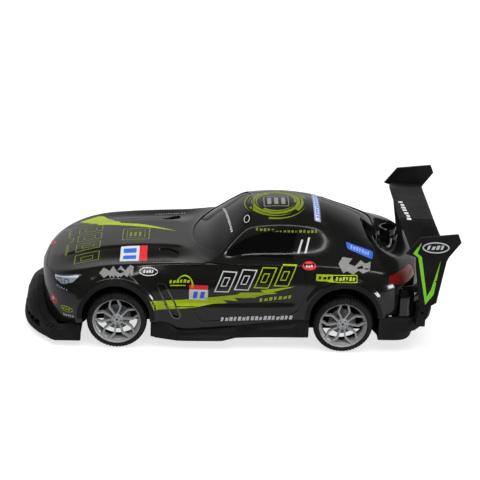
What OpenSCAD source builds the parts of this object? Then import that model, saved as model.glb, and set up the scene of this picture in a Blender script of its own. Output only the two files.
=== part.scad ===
// Radio-controlled drift car, 1:16 class.
// +X points to the nose, +Y to the driver's left, +Z up.
// The origin is on the ground, under the middle of the car.

/* [Body] */
// Distance from the origin to the tip of the nose
nose_x = 143.5; // [141:0.5:144]
// Distance from the origin to the tail
tail_x = 140; // [138:0.5:141]
// Half width of the body at its doors
door_half_w = 62; // [60:0.5:63]
// Extra half width over the wheels
flare_w = 2.8; // [1:0.2:3]
// Height of the roof's crown
roof_z = 95; // [93:0.5:96]
// Wall thickness of the shell
shell_t = 1.6; // [1.4:0.1:1.8]

/* [Wheels] */
// Distance from the origin to the front axle
front_x = 85; // [84:0.5:86]
// Distance from the origin to the rear axle
rear_x = 79; // [78:0.5:80]
// Outer radius of the tyres
tyre_r = 21.8; // [21.4:0.1:21.8]
// Radius of the seat of the tyre on the rim
rim_r = 17.7; // [17.2:0.1:18]
// Distance from the middle of the car to the outer face of a tyre
track_half = 64.4; // [64:0.2:65]
// Width of a tyre
tyre_w = 20; // [19:0.5:20.5]

/* [Steering] */
// Distance from the middle of the car to a kingpin
kingpin_y = 41; // [40.5:0.5:41]
// Length of the knuckle's arm and so the throw of the tie rod
steer_arm = 12; // [11.5:0.5:12.5]
// Length of the servo's arm
servo_arm_len = 15; // [14.5:0.5:15]

/* [Gears] */
// Teeth of the gear on the rear axle
axle_teeth = 30; // [30:2:30]
// Teeth of the small intermediate gear
small_teeth = 14; // [14:2:14]
// Teeth of the large intermediate gear
large_teeth = 34; // [34:2:34]
// Teeth of the motor's pinion
pinion_teeth = 12; // [12:1:12]

/* [Wing] */
// Height of the wing's middle
wing_z = 92.7; // [90:0.5:93]
// Outer half width of the wing
wing_half_w = 67.9; // [67:0.1:68]

/* [Hidden] */
$fn = 64;
eps = 0.01;
axle_z = tyre_r;
gap = 0.2;

// Lines that run the length of the body, as [x, value]: heights z_*, half widths y_*.
z_centre = [[-tail_x, 44], [-138, 53], [-134, 60], [-126, 62], [-113, 63], [-106, 70], [-97, 78.5],
  [-80, 86.5], [-64, 92], [-50, roof_z - 0.4], [-35, roof_z], [-11, roof_z - 2.1], [12, 79], [34, 64],
  [60, 64.4], [90, 62.6], [115, 58.6], [130, 54.2], [139, 49.5], [nose_x, 42]];
y_rail = [[-tail_x, 38], [-125, 38], [-110, 34], [-98, 30], [-75, 29], [-55, 31], [-35, 32], [-10, 33],
  [3, 39.5], [15.6, 47], [25, 36], [34, 21], [60, 21], [nose_x, 21]];
z_rail = [[-tail_x, 43.5], [-138, 52], [-134, 58.5], [-126, 61.5], [-115, 65], [-98, 73.5],
  [-75, 81.5], [-55, 87], [-35, 88.4], [-10, 86.3], [3, 76.5], [15.6, 65.6], [34, 63.9], [60, 64.4],
  [90, 62.2], [115, 58], [130, 53.6], [139, 49], [nose_x, 41.5]];
y_belt = [[-tail_x, 46], [-115, 46], [-75, 47], [-45, 50], [-20, 51], [8, 51], [16, 49.5], [40, 40],
  [nose_x, 38]];
z_belt = [[-tail_x, 43], [-136, 54], [-126, 60.5], [-115, 63], [-98, 66.5], [-75, 70], [-45, 68],
  [-20, 67], [15, 65], [40, 61.8], [90, 59.2], [115, 55.4], [130, 51.6], [139, 47.6], [nose_x, 41]];
y_shoulder = [[-tail_x, 51], [-98, 54], [-75, 55.5], [-20, 55.5], [15, 53], [40, 49.8], [nose_x, 49]];
z_shoulder = [[-tail_x, 42], [-136, 52], [-126, 59], [-115, 61], [-98, 63], [-75, 64.5], [-45, 65.6],
  [-20, 65.6], [15, 64], [63, 61.9], [95, 59.2], [112, 55.6], [124, 52], [134, 48.4], [140, 45.4],
  [nose_x, 40]];
z_lower = [[-tail_x, 30], [-108, 29], [-98, 28], [-51, 25.5], [38, 15], [41, 15.5], [49, 21], [57, 21.5],
  [98, 22], [112, 20.5], [130, 19], [nose_x, 18]];
y_side = [[-tail_x, 60], [-110, door_half_w + 1], [-rear_x, door_half_w + flare_w],
  [-52, door_half_w + 0.3], [0, door_half_w - 0.4], [55, door_half_w + 0.3],
  [front_x, door_half_w + flare_w], [112, door_half_w + 0.6], [nose_x, 61]];

// Smooth curve through a list of [x, value] that never overshoots its points
function place(p, x, i = 0) = (i >= len(p) - 2 || x < p[i + 1][0]) ? i : place(p, x, i + 1);
function chord(p, i) = (p[i + 1][1] - p[i][1]) / (p[i + 1][0] - p[i][0]);
function tangent(p, i) =
  i == 0 ? chord(p, 0) :
  i == len(p) - 1 ? chord(p, i - 1) :
  chord(p, i - 1) * chord(p, i) <= 0 ? 0 :
  2 * chord(p, i - 1) * chord(p, i) / (chord(p, i - 1) + chord(p, i));
function hermite(t, a, b, ma, mb) =
  a * (1 + 2 * t) * pow(1 - t, 2) + b * t * t * (3 - 2 * t)
  + ma * t * pow(1 - t, 2) - mb * t * t * (1 - t);
function curve(p, x) = let(i = place(p, x), w = p[i + 1][0] - p[i][0])
  hermite((x - p[i][0]) / w, p[i][1], p[i + 1][1], tangent(p, i) * w, tangent(p, i + 1) * w);

// How much a plan outline narrows towards an end: 1 along the middle, near 0 at the tip
plan_power = 2.6;
round_from = 100;
function narrowing(u, least) = u <= 0 ? 1 : max(least, sqrt(max(0, 1 - pow(min(u, 1), plan_power))));
function plan_round(x) = x > 0
  ? narrowing((x - round_from) / (nose_x - round_from), 0.12)
  : narrowing((-x - round_from) / (tail_x - round_from), 0.12);

// Half section of the body at x, from the centre line down to the lower edge
function half_section(x) = let(
  r = plan_round(x), zc = curve(z_centre, x), yr = curve(y_rail, x), zr = curve(z_rail, x),
  yb = curve(y_belt, x), zb = curve(z_belt, x), ys = curve(y_shoulder, x), zs = curve(z_shoulder, x),
  yw = curve(y_side, x), zl = curve(z_lower, x))
  [[0, zc], [yr * r * 0.5, zc - (zc - zr) * 0.27], [yr * r, zr], [yb * r, zb], [ys * r, zs],
   [(ys + (yw - ys) * 0.72) * r, zs - (zs - zl) * 0.24], [yw * r, zs - (zs - zl) * 0.58],
   [(yw - 0.4) * r, zl + (zs - zl) * 0.12], [(yw - 1) * r, zl]];
// One point between each pair of points, on a rounded path
function soften(p) = [for (i = [0:len(p) - 2]) for (k = [0, 1])
  k == 0 ? p[i] :
  i == 0 || i == len(p) - 2 ? (p[i] + p[i + 1]) / 2 :
  (p[i] + p[i + 1]) * 0.5625 - (p[i - 1] + p[i + 2]) * 0.0625, p[len(p) - 1]];
function ring(x) = let(h = soften(half_section(x)), n = len(h))
  [for (i = [n - 1:-1:0]) [x, -h[i][0], h[i][1]], for (i = [1:n - 1]) [x, h[i][0], h[i][1]]];

end_steps = 9;
mid_steps = 30;
stations = [
  for (i = [0:end_steps - 1]) -round_from - (tail_x - round_from) * cos(90 * i / end_steps),
  for (i = [0:mid_steps]) -round_from + 2 * round_from * i / mid_steps,
  for (i = [end_steps - 1:-1:0]) round_from + (nose_x - round_from) * cos(90 * i / end_steps)];

function backwards(p) = [for (i = [len(p) - 1:-1:0]) p[i]];
// Solid through a list of closed rings that all have the same number of points
module loft(rings) {
  n = len(rings[0]);
  m = len(rings);
  polyhedron(
    points = [for (r = rings) for (p = r) p],
    faces = [
      [for (i = [0:n - 1]) i],
      [for (i = [n - 1:-1:0]) (m - 1) * n + i],
      for (j = [0:m - 2]) for (i = [0:n - 1]) let(k = (i + 1) % n)
        each [[j * n + i, (j + 1) * n + i, (j + 1) * n + k], [j * n + i, (j + 1) * n + k, j * n + k]]]);
}
// Turns thin curved skins into one closed surface
module one_skin() {
  resize([0, 0, 0]) children();
}
module mirrored(side) {
  if (side > 0) children();
  else mirror([0, 1, 0]) children();
}
module body_outer() {
  loft([for (x = backwards(stations)) ring(x)]);
}
// The body's outer form, brought in by t on every side
module brought_in(t) {
  translate([0, 0, -t])
    scale([1 - (t + 0.2) / nose_x, 1 - (t + 0.1) / door_half_w, 1])
    children();
}
// The hollow of the shell, with every second station and plain sections
module body_hollow() {
  brought_in(shell_t)
    loft([for (i = [len(stations) - 1:-2:0]) let(x = stations[i], h = half_section(x))
      concat([for (k = [8:-1:0]) [x, -h[k][0], h[k][1]]], [for (k = [1:8]) [x, h[k][0], h[k][1]]])]);
}

// Openings, as prisms through the skin; grow is the amount by which each is larger
glass_base_x = 31.5;
glass_top_x = -9;
module windscreen_cut(grow) {
  edge = [for (i = [-8:8]) [glass_base_x - 17 * pow(abs(i) / 8, 2.2), i * 5.1]];
  top = [for (i = [-3:3]) [glass_top_x - 3 * (1 - pow(abs(i) / 3, 2)), -i * 9.6]];
  translate([0, 0, 50])
    linear_extrude(60) offset(delta = grow) polygon(concat(edge, top));
}
module rear_window_cut(grow) {
  translate([0, 0, 50])
    linear_extrude(60) offset(r = 3 + grow) offset(delta = -3)
    polygon([[-60, -26.5], [-57, 0], [-60, 26.5], [-103, 27], [-107, 0], [-103, -27]]);
}
module side_window_cut(grow) {
  rim = [for (i = [0:8]) [8 - 48.5 * i / 8, 68.3 + 16 * sin(90 * pow(i / 8, 0.75))]];
  mirror([0, 1, 0]) rotate([90, 0, 0]) translate([0, 0, 30])
    linear_extrude(40) offset(delta = grow)
    polygon(concat(rim, [[-43.5, 84.1], [-40.5, 68.2]]));
}
headlamp_turn = 56;
module headlamp_cut(grow) {
  translate([119, 42, 47.5]) rotate([0, 0, headlamp_turn]) rotate([90, 0, 90])
    linear_extrude(24) offset(r = 1.2 + grow) offset(delta = -1.2)
    polygon([[-12.5, 2.6], [-12.5, 0.5], [-8, -4], [7, -4.6], [12, -1], [13, 4.4], [2, 4.6]]);
}
tail_lamp_turn = 126;
module tail_lamp_cut(grow) {
  translate([-119, 40, 51]) rotate([0, 0, tail_lamp_turn]) rotate([90, 0, 90])
    linear_extrude(30) offset(r = 2 + grow) offset(delta = -2)
    polygon([[-13, -6], [-13, 3], [-6, 6.5], [11, 5.5], [13, 0], [11, -6], [0, -7.5]]);
}
// Front arches are round, rear ones slope back a little at the bottom
module arch_cuts() {
  for (side = [-1, 1]) mirrored(side) {
    translate([front_x + 0.6, 70, 25]) rotate([90, 0, 0]) {
      cylinder(r = 24.4, h = 36);
      translate([-24.4, -25, 0]) cube([48.8, 25, 36]);
    }
    translate([-rear_x, 70, 28]) rotate([90, 0, 0]) {
      cylinder(r = 24.6, h = 36);
      translate([-24.6, -28, 0]) cube([49.2, 28, 36]);
    }
  }
}
post_at = [[104, 22], [-97, 30]];
post_r = 3.2;
post_bottom = 12.2;
post_len = 65;
neck_x = -114.8;
neck_hole_r = 8;
module body_posts() {
  for (side = [-1, 1], p = post_at)
    translate([p[0], side * p[1], post_bottom]) difference() {
      cylinder(r = post_r, h = post_len);
      translate([0, 0, -eps]) cylinder(r = 1.3, h = 12);
    }
}
module body_shell() {
  color([0.13, 0.13, 0.12]) one_skin() {
    difference() {
      body_outer();
      body_hollow();
      arch_cuts();
      windscreen_cut(0);
      rear_window_cut(0);
      for (side = [-1, 1]) mirrored(side) {
        side_window_cut(0);
        headlamp_cut(0);
        tail_lamp_cut(0);
      }
      translate([neck_x, 0, 50]) cylinder(r = neck_hole_r, h = 40);
    }
    intersection() {
      body_posts();
      brought_in(shell_t / 2) body_outer();
    }
  }
}
// Panel that fills an opening, just under the paint
module panel() {
  one_skin() intersection() {
    difference() {
      brought_in(0.25) body_outer();
      body_hollow();
    }
    children();
  }
}
module windscreen() {
  color([0.2, 0.2, 0.2, 0.8]) panel() windscreen_cut(-gap);
}
module rear_window() {
  color([0.25, 0.25, 0.24, 0.8]) panel() rear_window_cut(-gap);
}
module side_window(side) {
  color([0.05, 0.05, 0.05, 0.8]) mirrored(side) panel() side_window_cut(-gap);
}
module headlamp_lens(side) {
  color([0.85, 0.88, 0.9]) mirrored(side) panel() headlamp_cut(-gap);
}
module tail_lamp_lens(side) {
  color([0.35, 0.03, 0.03]) mirrored(side) panel() tail_lamp_cut(-gap);
}

// Bumpers: plan outlines that start at the arches and close round the ends
bumper_start = 111.5;
bumper_tip = 157.8;
bumper_half_w = 64;
bumper_power = 2.6;
bumper_steps = 12;
function bumper_side(tip, inset) = [for (i = [0:bumper_steps]) let(
  u = sin(90 * i / bumper_steps), x = bumper_start + (tip - inset - bumper_start) * u)
  [x, (bumper_half_w - inset) * sqrt(max(0, 1 - pow(u, bumper_power)))]];
function both_sides(p) = concat(p, [for (i = [len(p) - 2:-1:0]) [p[i][0], -p[i][1]]]);
bumper_wall = 2.6;
bumper_levels = [[4.6, 153.5], [6.2, 156.6], [9, bumper_tip], [13, 157], [18, 154.6], [22, 151.5]];
function bumper_ring(z, tip) = [for (p = concat(both_sides(bumper_side(tip, 0)),
  backwards(both_sides(bumper_side(tip, bumper_wall))))) [p[0], p[1], z]];
floor_z = 8;
floor_t = 2;
tray_bolt_x = 118;
module front_bumper() {
  color([0.07, 0.07, 0.07]) one_skin() {
    difference() {
      loft(backwards([for (l = bumper_levels) bumper_ring(l[0], l[1])]));
      // low corner of the side panel, and the intake ahead of it
      for (side = [-1, 1]) mirrored(side) {
        translate([138, 44, 9]) rotate([0, 0, -38]) cube([14, 20, 7], center = true);
        translate([129, 70, 20]) rotate([90, 0, 0]) rotate([0, 0, 28]) cube([30, 6, 20]);
      }
    }
    difference() {
      translate([0, 0, floor_z + floor_t]) linear_extrude(floor_t) polygon(both_sides(bumper_side(155.8, 1.5)));
      for (side = [-1, 1]) translate([tray_bolt_x, side * 20, 0]) cylinder(r = 1.3, h = 20);
    }
  }
}
skirt_front = 60.6;
skirt_rear = -54.4;
skirt_low = [[skirt_rear, 9.6], [-30, 9.4], [-2, 8.6], [10, 6.4], [38, 6], [50, 6.6], [skirt_front, 7.6]];
skirt_out = [[skirt_rear, 61.6], [-30, 62], [-2, 62.4], [8, 64], [40, 64], [50, 62.6], [skirt_front, 61.6]];
skirt_in = 57.5;
skirt_gap = 0.5;
module side_skirt(side) {
  color([0.08, 0.08, 0.08]) mirrored(side) difference() {
    loft(backwards([for (i = [0:24])
      let(x = skirt_rear + (skirt_front - skirt_rear) * i / 24, low = curve(skirt_low, x),
          out = curve(skirt_out, x), top = curve(z_lower, x) - skirt_gap)
      [[x, skirt_in, top], [x, out - 1.2, top], [x, out, top - 3], [x, out, low + 2.5],
       [x, out - 2, low], [x, skirt_in, low]]]));
    // room for the steered tyre
    translate([skirt_front - 3, skirt_in - 1, 0]) cube([10, 3.8, 40]);
  }
}
rear_bumper_start = -105.2;
rear_bumper_half_w = 62.5;
rear_layers = [[10.4, 6.8, -136], [17.2, 6.6, -144], [23.8, 4.7, -150]];
function rear_side(tip, inset) = [for (i = [0:bumper_steps]) let(
  u = sin(90 * i / bumper_steps), x = rear_bumper_start + (tip + inset - rear_bumper_start) * u)
  [x, (rear_bumper_half_w - inset) * sqrt(max(0, 1 - pow(u, 6)))]];
plate_t = 1.8;
bracket_z = 40;
foot_x = -134.8;
module rear_bumper() {
  color([0.08, 0.08, 0.08]) difference() {
    union() {
      for (l = rear_layers) translate([0, 0, l[0]])
        linear_extrude(l[1]) polygon(both_sides(rear_side(l[2], 0)));
      // brackets that carry the wing's end plates
      for (side = [-1, 1]) mirrored(side)
        translate([foot_x - 3.2, 46, 24]) cube([6.6, wing_half_w - plate_t - 46 - gap, bracket_z - 24]);
    }
    translate([-120, -55, floor_z]) cube([40, 110, 10]);
    translate([0, 0, 17]) linear_extrude(22) polygon(both_sides(rear_side(-142, 3)));
    for (side = [-1, 1]) mirrored(side) {
      translate([foot_x, 70, 36]) rotate([90, 0, 0]) cylinder(r = 1, h = 12, $fn = 32);
    }
    // channels of the diffuser
    for (i = [-2:2]) translate([-152, i * 15 - 4.5, 8]) cube([16, 9, 14]);
  }
}

// Wing: a blade whose outer parts drop back towards the end plates
wing_sweep = [[0, 0], [28, 0], [34, 0.1], [wing_half_w, 1]];
chord_len = 25.5;
blade_t = 2.6;
wing_front = -118.3;
function blade_ring(y) = let(s = curve(wing_sweep, abs(y)), x0 = wing_front - 5.5 * s, z0 = wing_z - 10.7 * s)
  [for (a = [0:30:330]) [x0 - chord_len / 2 + chord_len / 2 * cos(a), y,
    z0 + blade_t / 2 * sin(a) * (1 + 0.35 * cos(a)) - 1.2 * pow(sin((90 + 90 * cos(a))), 2)]];
module wing_blade() {
  in = wing_half_w - plate_t - 0.05;
  color([0.07, 0.07, 0.07]) loft([for (i = [14:-1:-14]) blade_ring(in * i / 14)]);
}
module wing_end_plate(side) {
  color([0.07, 0.07, 0.07]) mirrored(side) difference() {
    translate([0, wing_half_w, 0]) rotate([90, 0, 0]) linear_extrude(plate_t)
      polygon([[-119.4, 82.6], [-128.8, 95.2], [-155.2, 98.2], [-157.8, 92.2], [-149.9, 80.6],
        [-148.6, 77], [-144.3, 44.4], [-140.4, 41.8], [-138, 31.4], [-131.4, 31.4], [-132.3, 42],
        [-127.4, 70.4], [-126.5, 80.2]]);
    translate([foot_x, 70, 36]) rotate([90, 0, 0]) cylinder(r = 1, h = 12, $fn = 32);
  }
}
neck_top = 74;
neck_r = 5;
neck_bottom = 56.5;
module filler_neck() {
  color([0.04, 0.04, 0.04]) translate([neck_x, 0, 0]) rotate_extrude()
    polygon([[neck_r, neck_bottom], [5.9, neck_bottom], [5.9, 57.4], [7.8, 57.4], [7.8, 67.4], [7.4, 68],
      [5.9, 68], [5.9, 71.4], [6.5, 72], [6.5, neck_top - 0.4], [6.1, neck_top], [neck_r, neck_top]]);
}
tank_floor = 34;
module water_tank() {
  color([0.8, 0.85, 0.88]) difference() {
    translate([-126, -21, tank_floor]) cube([27, 42, 22.3]);
    translate([-124.5, -19.5, tank_floor + 1.5]) cube([24, 39, 17]);
    translate([neck_x, 0, tank_floor + 10]) cylinder(r = 5.95, h = 20);
  }
}
module atomizer_disc() {
  color([0.8, 0.7, 0.4]) translate([neck_x, 0, tank_floor + 1.5]) {
    cylinder(r = 8, h = 1.4);
    cylinder(r = 4, h = 2.4);
  }
}

// Chassis
mid_front = 54;
mid_rear = -52;
door_x0 = -8;
door_x1 = 47;
door_half = 17;
door_axis_z = 9.6;
upright_y = 36;
upright_t = 3;
bush_r = 3;
axle_r = 1.5;
module tray_floor() {
  polygon([[mid_front, 56], [60, 33], [108, 33], [114, 46], [122, 46], [122, -46], [114, -46], [108, -33],
    [60, -33], [mid_front, -56], [mid_rear, -56], [-56, -41], [-103, -41], [-106, -50], [-118, -50],
    [-118, 50], [-106, 50], [-103, 41], [-56, 41], [mid_rear, 56]]);
}
case_x0 = -94;
case_x1 = -33;
case_y0 = -6;
case_y1 = 12;
wall_t = 2;
servo_x = front_x - steer_arm - servo_arm_len;
plate_z = 31;
screw_seat_z = 10.3;
switch_x = -36;
switch_y = 36;
module chassis_tray() {
  color([0.1, 0.1, 0.1]) difference() {
    union() {
      translate([0, 0, floor_z]) linear_extrude(floor_t) tray_floor();
      // walls of the middle bay
      translate([0, 0, floor_z]) difference() {
        translate([mid_rear, -56, 0]) cube([mid_front - mid_rear, 112, 9]);
        translate([mid_rear + 2, -54, -1]) cube([mid_front - mid_rear - 4, 108, 20]);
        translate([mid_front - 12, -33, floor_t]) cube([20, 66, 20]);
        translate([mid_rear - 5, -36, floor_t]) cube([20, 72, 20]);
      }
      // uprights of the rear axle
      for (side = [-1, 1]) mirrored(side) {
        translate([-rear_x - 6, upright_y, floor_z + 1]) cube([12, upright_t, 19.5]);
        // lower arms of the kingpins
        translate([front_x - 4, 28, floor_z + 0.5]) cube([8, kingpin_y - 28, 3]);
        translate([front_x, kingpin_y, floor_z + 0.5]) cylinder(r = 3.2, h = 3);
      }
      // pillars of the top plate, tower of the water tank and posts of the control board
      for (side = [-1, 1]) translate([front_x, side * 22, floor_z + 1]) cylinder(r = 3, h = plate_z - floor_z - 1);
      for (side = [-1, 1]) translate([-114, side * 15, floor_z + 1]) cylinder(r = 2.5, h = tank_floor - floor_z - 1);
      for (side = [-1, 1], x = [-28, 12]) translate([x, side * 24, floor_z + 1]) cylinder(r = 2, h = 21);
      // bosses that sink the heads of the body's screws
      for (side = [-1, 1], p = post_at) translate([p[0], side * p[1], floor_z + 1]) cylinder(r = 4.4, h = 3);
      // ears of the battery door's hinge
      for (side = [-1, 1]) mirrored(side)
        translate([door_x1 - 1.5, door_half + 0.6, floor_z + 1]) cube([4.5, 2.4, 3.6]);
    }
    translate([door_x0, -door_half - 0.3, floor_z - 1]) cube([door_x1 - door_x0 + 1.8, 2 * door_half + 0.6, 4]);
    for (side = [-1, 1]) mirrored(side) {
      translate([door_x1, 0, door_axis_z]) rotate([-90, 0, 0]) cylinder(r = 1.06, h = door_half + 2.5, $fn = 32);
      translate([-rear_x, 30, axle_z]) rotate([-90, 0, 0]) cylinder(r = bush_r, h = 14);
      translate([front_x, kingpin_y, 0]) cylinder(r = 1.3, h = 20, $fn = 32);
      translate([tray_bolt_x, 20, 0]) cylinder(r = 1.3, h = 20, $fn = 32);
      for (p = post_at) translate([p[0], p[1], 0]) {
        cylinder(r = 1.5, h = 20, $fn = 32);
        cylinder(r = 2.9, h = screw_seat_z);
      }
    }
    translate([case_x0 - 0.2, case_y0 - 0.2, floor_z - 1]) cube([34.4, case_y1 - case_y0 + 0.4, 4]);
    translate([switch_x - 5, switch_y - 1.6, floor_z - 1]) cube([10, 3.2, 4]);
  }
}
module front_top_plate() {
  color([0.12, 0.12, 0.12]) difference() {
    translate([0, 0, plate_z]) linear_extrude(2.4) union() {
      translate([front_x - 6, -27]) square([12, 54]);
      for (side = [-1, 1]) mirrored(side) {
        translate([front_x - 4, 0]) square([8, kingpin_y]);
        translate([front_x, kingpin_y]) circle(r = 3.2);
      }
    }
    for (side = [-1, 1]) translate([front_x, side * kingpin_y, 0]) cylinder(r = 1.3, h = 40, $fn = 32);
  }
}

// Steering
peg_r = 1.25;
arm_z = 16;
rod_z = 19.2;
rod_t = 2.4;
stub_r = 1.8;
stub_end = 58.4;
module knuckle(side) {
  color([0.14, 0.14, 0.14]) mirrored(side) difference() {
    union() {
      translate([front_x, kingpin_y, 9.2]) cylinder(r = peg_r, h = 24, $fn = 32);
      translate([front_x, kingpin_y, 12]) cylinder(r = 3.2, h = 18.8);
      translate([front_x, kingpin_y, axle_z]) rotate([-90, 0, 0]) cylinder(r = stub_r, h = stub_end - kingpin_y);
      translate([front_x - steer_arm, kingpin_y - 1.8, arm_z]) cube([steer_arm, 3.6, 2.8]);
      translate([front_x - steer_arm, kingpin_y, arm_z]) cylinder(r = 2.2, h = 2.8);
      translate([front_x - steer_arm, kingpin_y, arm_z]) cylinder(r = 1.2, h = 7, $fn = 32);
    }
    translate([front_x, stub_end - 8, axle_z]) rotate([-90, 0, 0]) cylinder(r = 0.9, h = 10, $fn = 32);
  }
}
slot_r = 1.5;
module slot(x, y) {
  translate([x - 1.1, y - slot_r, rod_z - 1]) cube([2.2, 2 * slot_r, 5]);
  for (s = [-1, 1]) translate([x + 1.1 * s, y, rod_z - 1]) cylinder(r = slot_r, h = 5, $fn = 32);
}
module tie_rod() {
  rod_x = front_x - steer_arm;
  color([0.16, 0.16, 0.16]) difference() {
    union() {
      translate([rod_x - 2.2, -kingpin_y, rod_z]) cube([4.4, 2 * kingpin_y, rod_t]);
      for (y = [-kingpin_y, 0, kingpin_y]) translate([rod_x - 3.8, y - 2.8, rod_z]) cube([7.6, 5.6, rod_t]);
    }
    for (y = [-kingpin_y, 0, kingpin_y]) slot(rod_x, y);
  }
}
servo_z = floor_z + floor_t;
module steering_servo() {
  color([0.1, 0.1, 0.14]) difference() {
    union() {
      translate([servo_x - 9, -8, servo_z]) cube([15, 16, 11]);
      translate([servo_x - 9, -12, servo_z + 6]) cube([15, 24, 1.6]);
      translate([servo_x, 0, servo_z]) cylinder(r = 4.6, h = 13);
    }
    translate([servo_x, 0, servo_z + 6]) cylinder(r = 1.55, h = 10, $fn = 32);
  }
}
module servo_arm() {
  z0 = servo_z + 13.2;
  color([0.85, 0.85, 0.82]) {
    translate([servo_x, 0, z0]) cylinder(r = 3.4, h = 2.4);
    translate([servo_x, 0, servo_z + 7]) cylinder(r = 1.5, h = 7, $fn = 32);
    translate([servo_x, -1.6, z0]) cube([servo_arm_len, 3.2, 2]);
    translate([front_x - steer_arm, 0, z0]) cylinder(r = 2, h = 2);
    translate([front_x - steer_arm, 0, rod_z - 0.6]) cylinder(r = 1.2, h = z0 - rod_z + 1.6, $fn = 32);
  }
}

// Power and electronics
module battery_pack() {
  color([0.2, 0.35, 0.7]) for (i = [-1, 1])
    translate([door_x0 + 3, i * 7.3, floor_z + floor_t + 7.6]) rotate([0, 90, 0]) {
      cylinder(r = 7.2, h = 49);
      translate([0, 0, 48.5]) cylinder(r = 2.5, h = 1.6);
    }
}
module battery_door() {
  color([0.1, 0.1, 0.1]) {
    difference() {
      translate([door_x0 + 0.4, -door_half, floor_z]) cube([door_x1 - door_x0 - 0.4, 2 * door_half, 1.6]);
      for (i = [0:5]) translate([door_x0 + 8 + 5 * i, -10, floor_z - 1]) cube([2, 20, 1.6]);
    }
    translate([door_x1, -door_half, door_axis_z]) rotate([-90, 0, 0]) cylinder(r = 1.5, h = 2 * door_half);
    translate([door_x1, -door_half - 2, door_axis_z]) rotate([-90, 0, 0])
      cylinder(r = 1, h = 2 * door_half + 4, $fn = 32);
  }
}
board_z = 30;
module control_board() {
  color([0.05, 0.3, 0.12]) {
    translate([-31, -27, board_z]) cube([46, 54, 1.4]);
    translate([-20, -10, board_z + 1.4 - eps]) cube([10, 10, 2]);
    translate([0, 8, board_z + 1.4 - eps]) cube([6, 12, 2]);
    for (i = [0:2]) translate([-24 + 8 * i, 18, board_z + 1.4 - eps]) cylinder(r = 2.4, h = 7, $fn = 32);
  }
}
module antenna_wire() {
  color([0.05, 0.05, 0.05]) {
    translate([-28, -22, board_z + 1.4]) cylinder(r = 0.6, h = 8, $fn = 24);
    translate([-28, -22, board_z + 9.4]) sphere(r = 0.6, $fn = 24);
    translate([-92, -22, board_z + 9.4]) rotate([0, 90, 0]) cylinder(r = 0.6, h = 64, $fn = 24);
  }
}
module switch_housing() {
  color([0.6, 0.6, 0.6]) difference() {
    translate([switch_x - 7, switch_y - 3.4, floor_z + floor_t]) cube([14, 6.8, 5]);
    translate([switch_x - 5.2, switch_y - 1.8, floor_z]) cube([10.4, 3.6, 5.4]);
  }
}
module switch_slider() {
  color([0.9, 0.9, 0.9]) {
    translate([switch_x - 4.8, switch_y - 1.5, floor_z + floor_t + 0.1]) cube([6.4, 3, 3]);
    translate([switch_x - 4.8, switch_y - 1.4, floor_z + 0.2]) cube([4.4, 2.8, 2.4]);
  }
}
module lamp_boards() {
  color([0.9, 0.9, 0.85]) for (side = [-1, 1]) mirrored(side) {
    translate([110, 34, 42]) rotate([0, 0, headlamp_turn]) {
      translate([0, -8, 0]) cube([1.4, 16, 9]);
      for (y = [-4, 4]) translate([1.4 - eps, y, 4.5]) rotate([0, 90, 0]) cylinder(r = 2, h = 4, $fn = 32);
    }
    translate([-114, 36, 45]) rotate([0, 0, tail_lamp_turn]) {
      translate([0, -8, 0]) cube([1.4, 16, 9]);
      for (y = [-4, 4]) translate([1.4 - eps, y, 4.5]) rotate([0, 90, 0]) cylinder(r = 2, h = 4, $fn = 32);
    }
  }
}

// Gear train, with all axles along Y; angles are measured from +X towards +Z
pressure = 25;
backlash = 0.12;
tip_height = 0.85;
root_depth = 1.15;
module_rear = 0.8;
module_front = 0.7;
rear_mesh_angle = 15;
front_mesh_angle = -8;
rear_centres = module_rear * (axle_teeth + small_teeth) / 2;
front_centres = module_front * (large_teeth + pinion_teeth) / 2;
mid_shaft = [-rear_x + rear_centres * cos(rear_mesh_angle), axle_z + rear_centres * sin(rear_mesh_angle)];
motor_at = mid_shaft + front_centres * [cos(front_mesh_angle), sin(front_mesh_angle)];
function involute(base, r) = let(t = sqrt(max(0, pow(r / base, 2) - 1))) t * 180 / PI - atan(t);
// Half the angle of a tooth at radius r
function half_tooth(m, n, r) = let(p = m * n / 2, base = p * cos(pressure))
  90 / n - backlash / 2 / p * 180 / PI + involute(base, p) - involute(base, max(r, base));
module gear_2d(m, n) {
  p = m * n / 2;
  base = p * cos(pressure);
  root = p - root_depth * m;
  tip = p + tip_height * m;
  low = max(base, root);
  radii = concat([root], [for (i = [0:4]) low + (tip - low) * i / 4]);
  flank = [for (r = radii) [r, half_tooth(m, n, r)]];
  outline = concat([for (f = flank) [f[0], -f[1]]], [for (i = [len(flank) - 1:-1:0]) flank[i]]);
  polygon([for (k = [0:n - 1]) for (f = outline) f[0] * [cos(360 * k / n + f[1]), sin(360 * k / n + f[1])]]);
}
// Puts a shape that is drawn on the XY plane upright at [x, z], starting at y and growing to +Y
module across(at, y) {
  translate([at[0], y, at[1]]) mirror([0, 1, 0]) rotate([90, 0, 0]) children();
}
gear_w = 6;
rear_axle_at = [-rear_x, axle_z];
module axle_gear() {
  color([0.85, 0.82, 0.7]) across(rear_axle_at, -gear_w / 2) difference() {
    union() {
      linear_extrude(gear_w) rotate(rear_mesh_angle) gear_2d(module_rear, axle_teeth);
      translate([0, 0, gear_w - eps]) cylinder(r = 4, h = 4);
    }
    translate([0, 0, -1]) cylinder(r = axle_r, h = 20);
  }
}
mid_shaft_r = 1.2;
module intermediate_gear() {
  color([0.85, 0.82, 0.7]) across(mid_shaft, -gear_w / 2 - 0.3) difference() {
    union() {
      linear_extrude(gear_w + 1.6) rotate(rear_mesh_angle + 180 + 180 / small_teeth)
        gear_2d(module_rear, small_teeth);
      translate([0, 0, gear_w + 1.6 - eps]) linear_extrude(4) rotate(front_mesh_angle)
        gear_2d(module_front, large_teeth);
    }
    translate([0, 0, -1]) cylinder(r = mid_shaft_r + 0.05, h = 20, $fn = 48);
  }
}
motor_shaft_r = 1;
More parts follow.
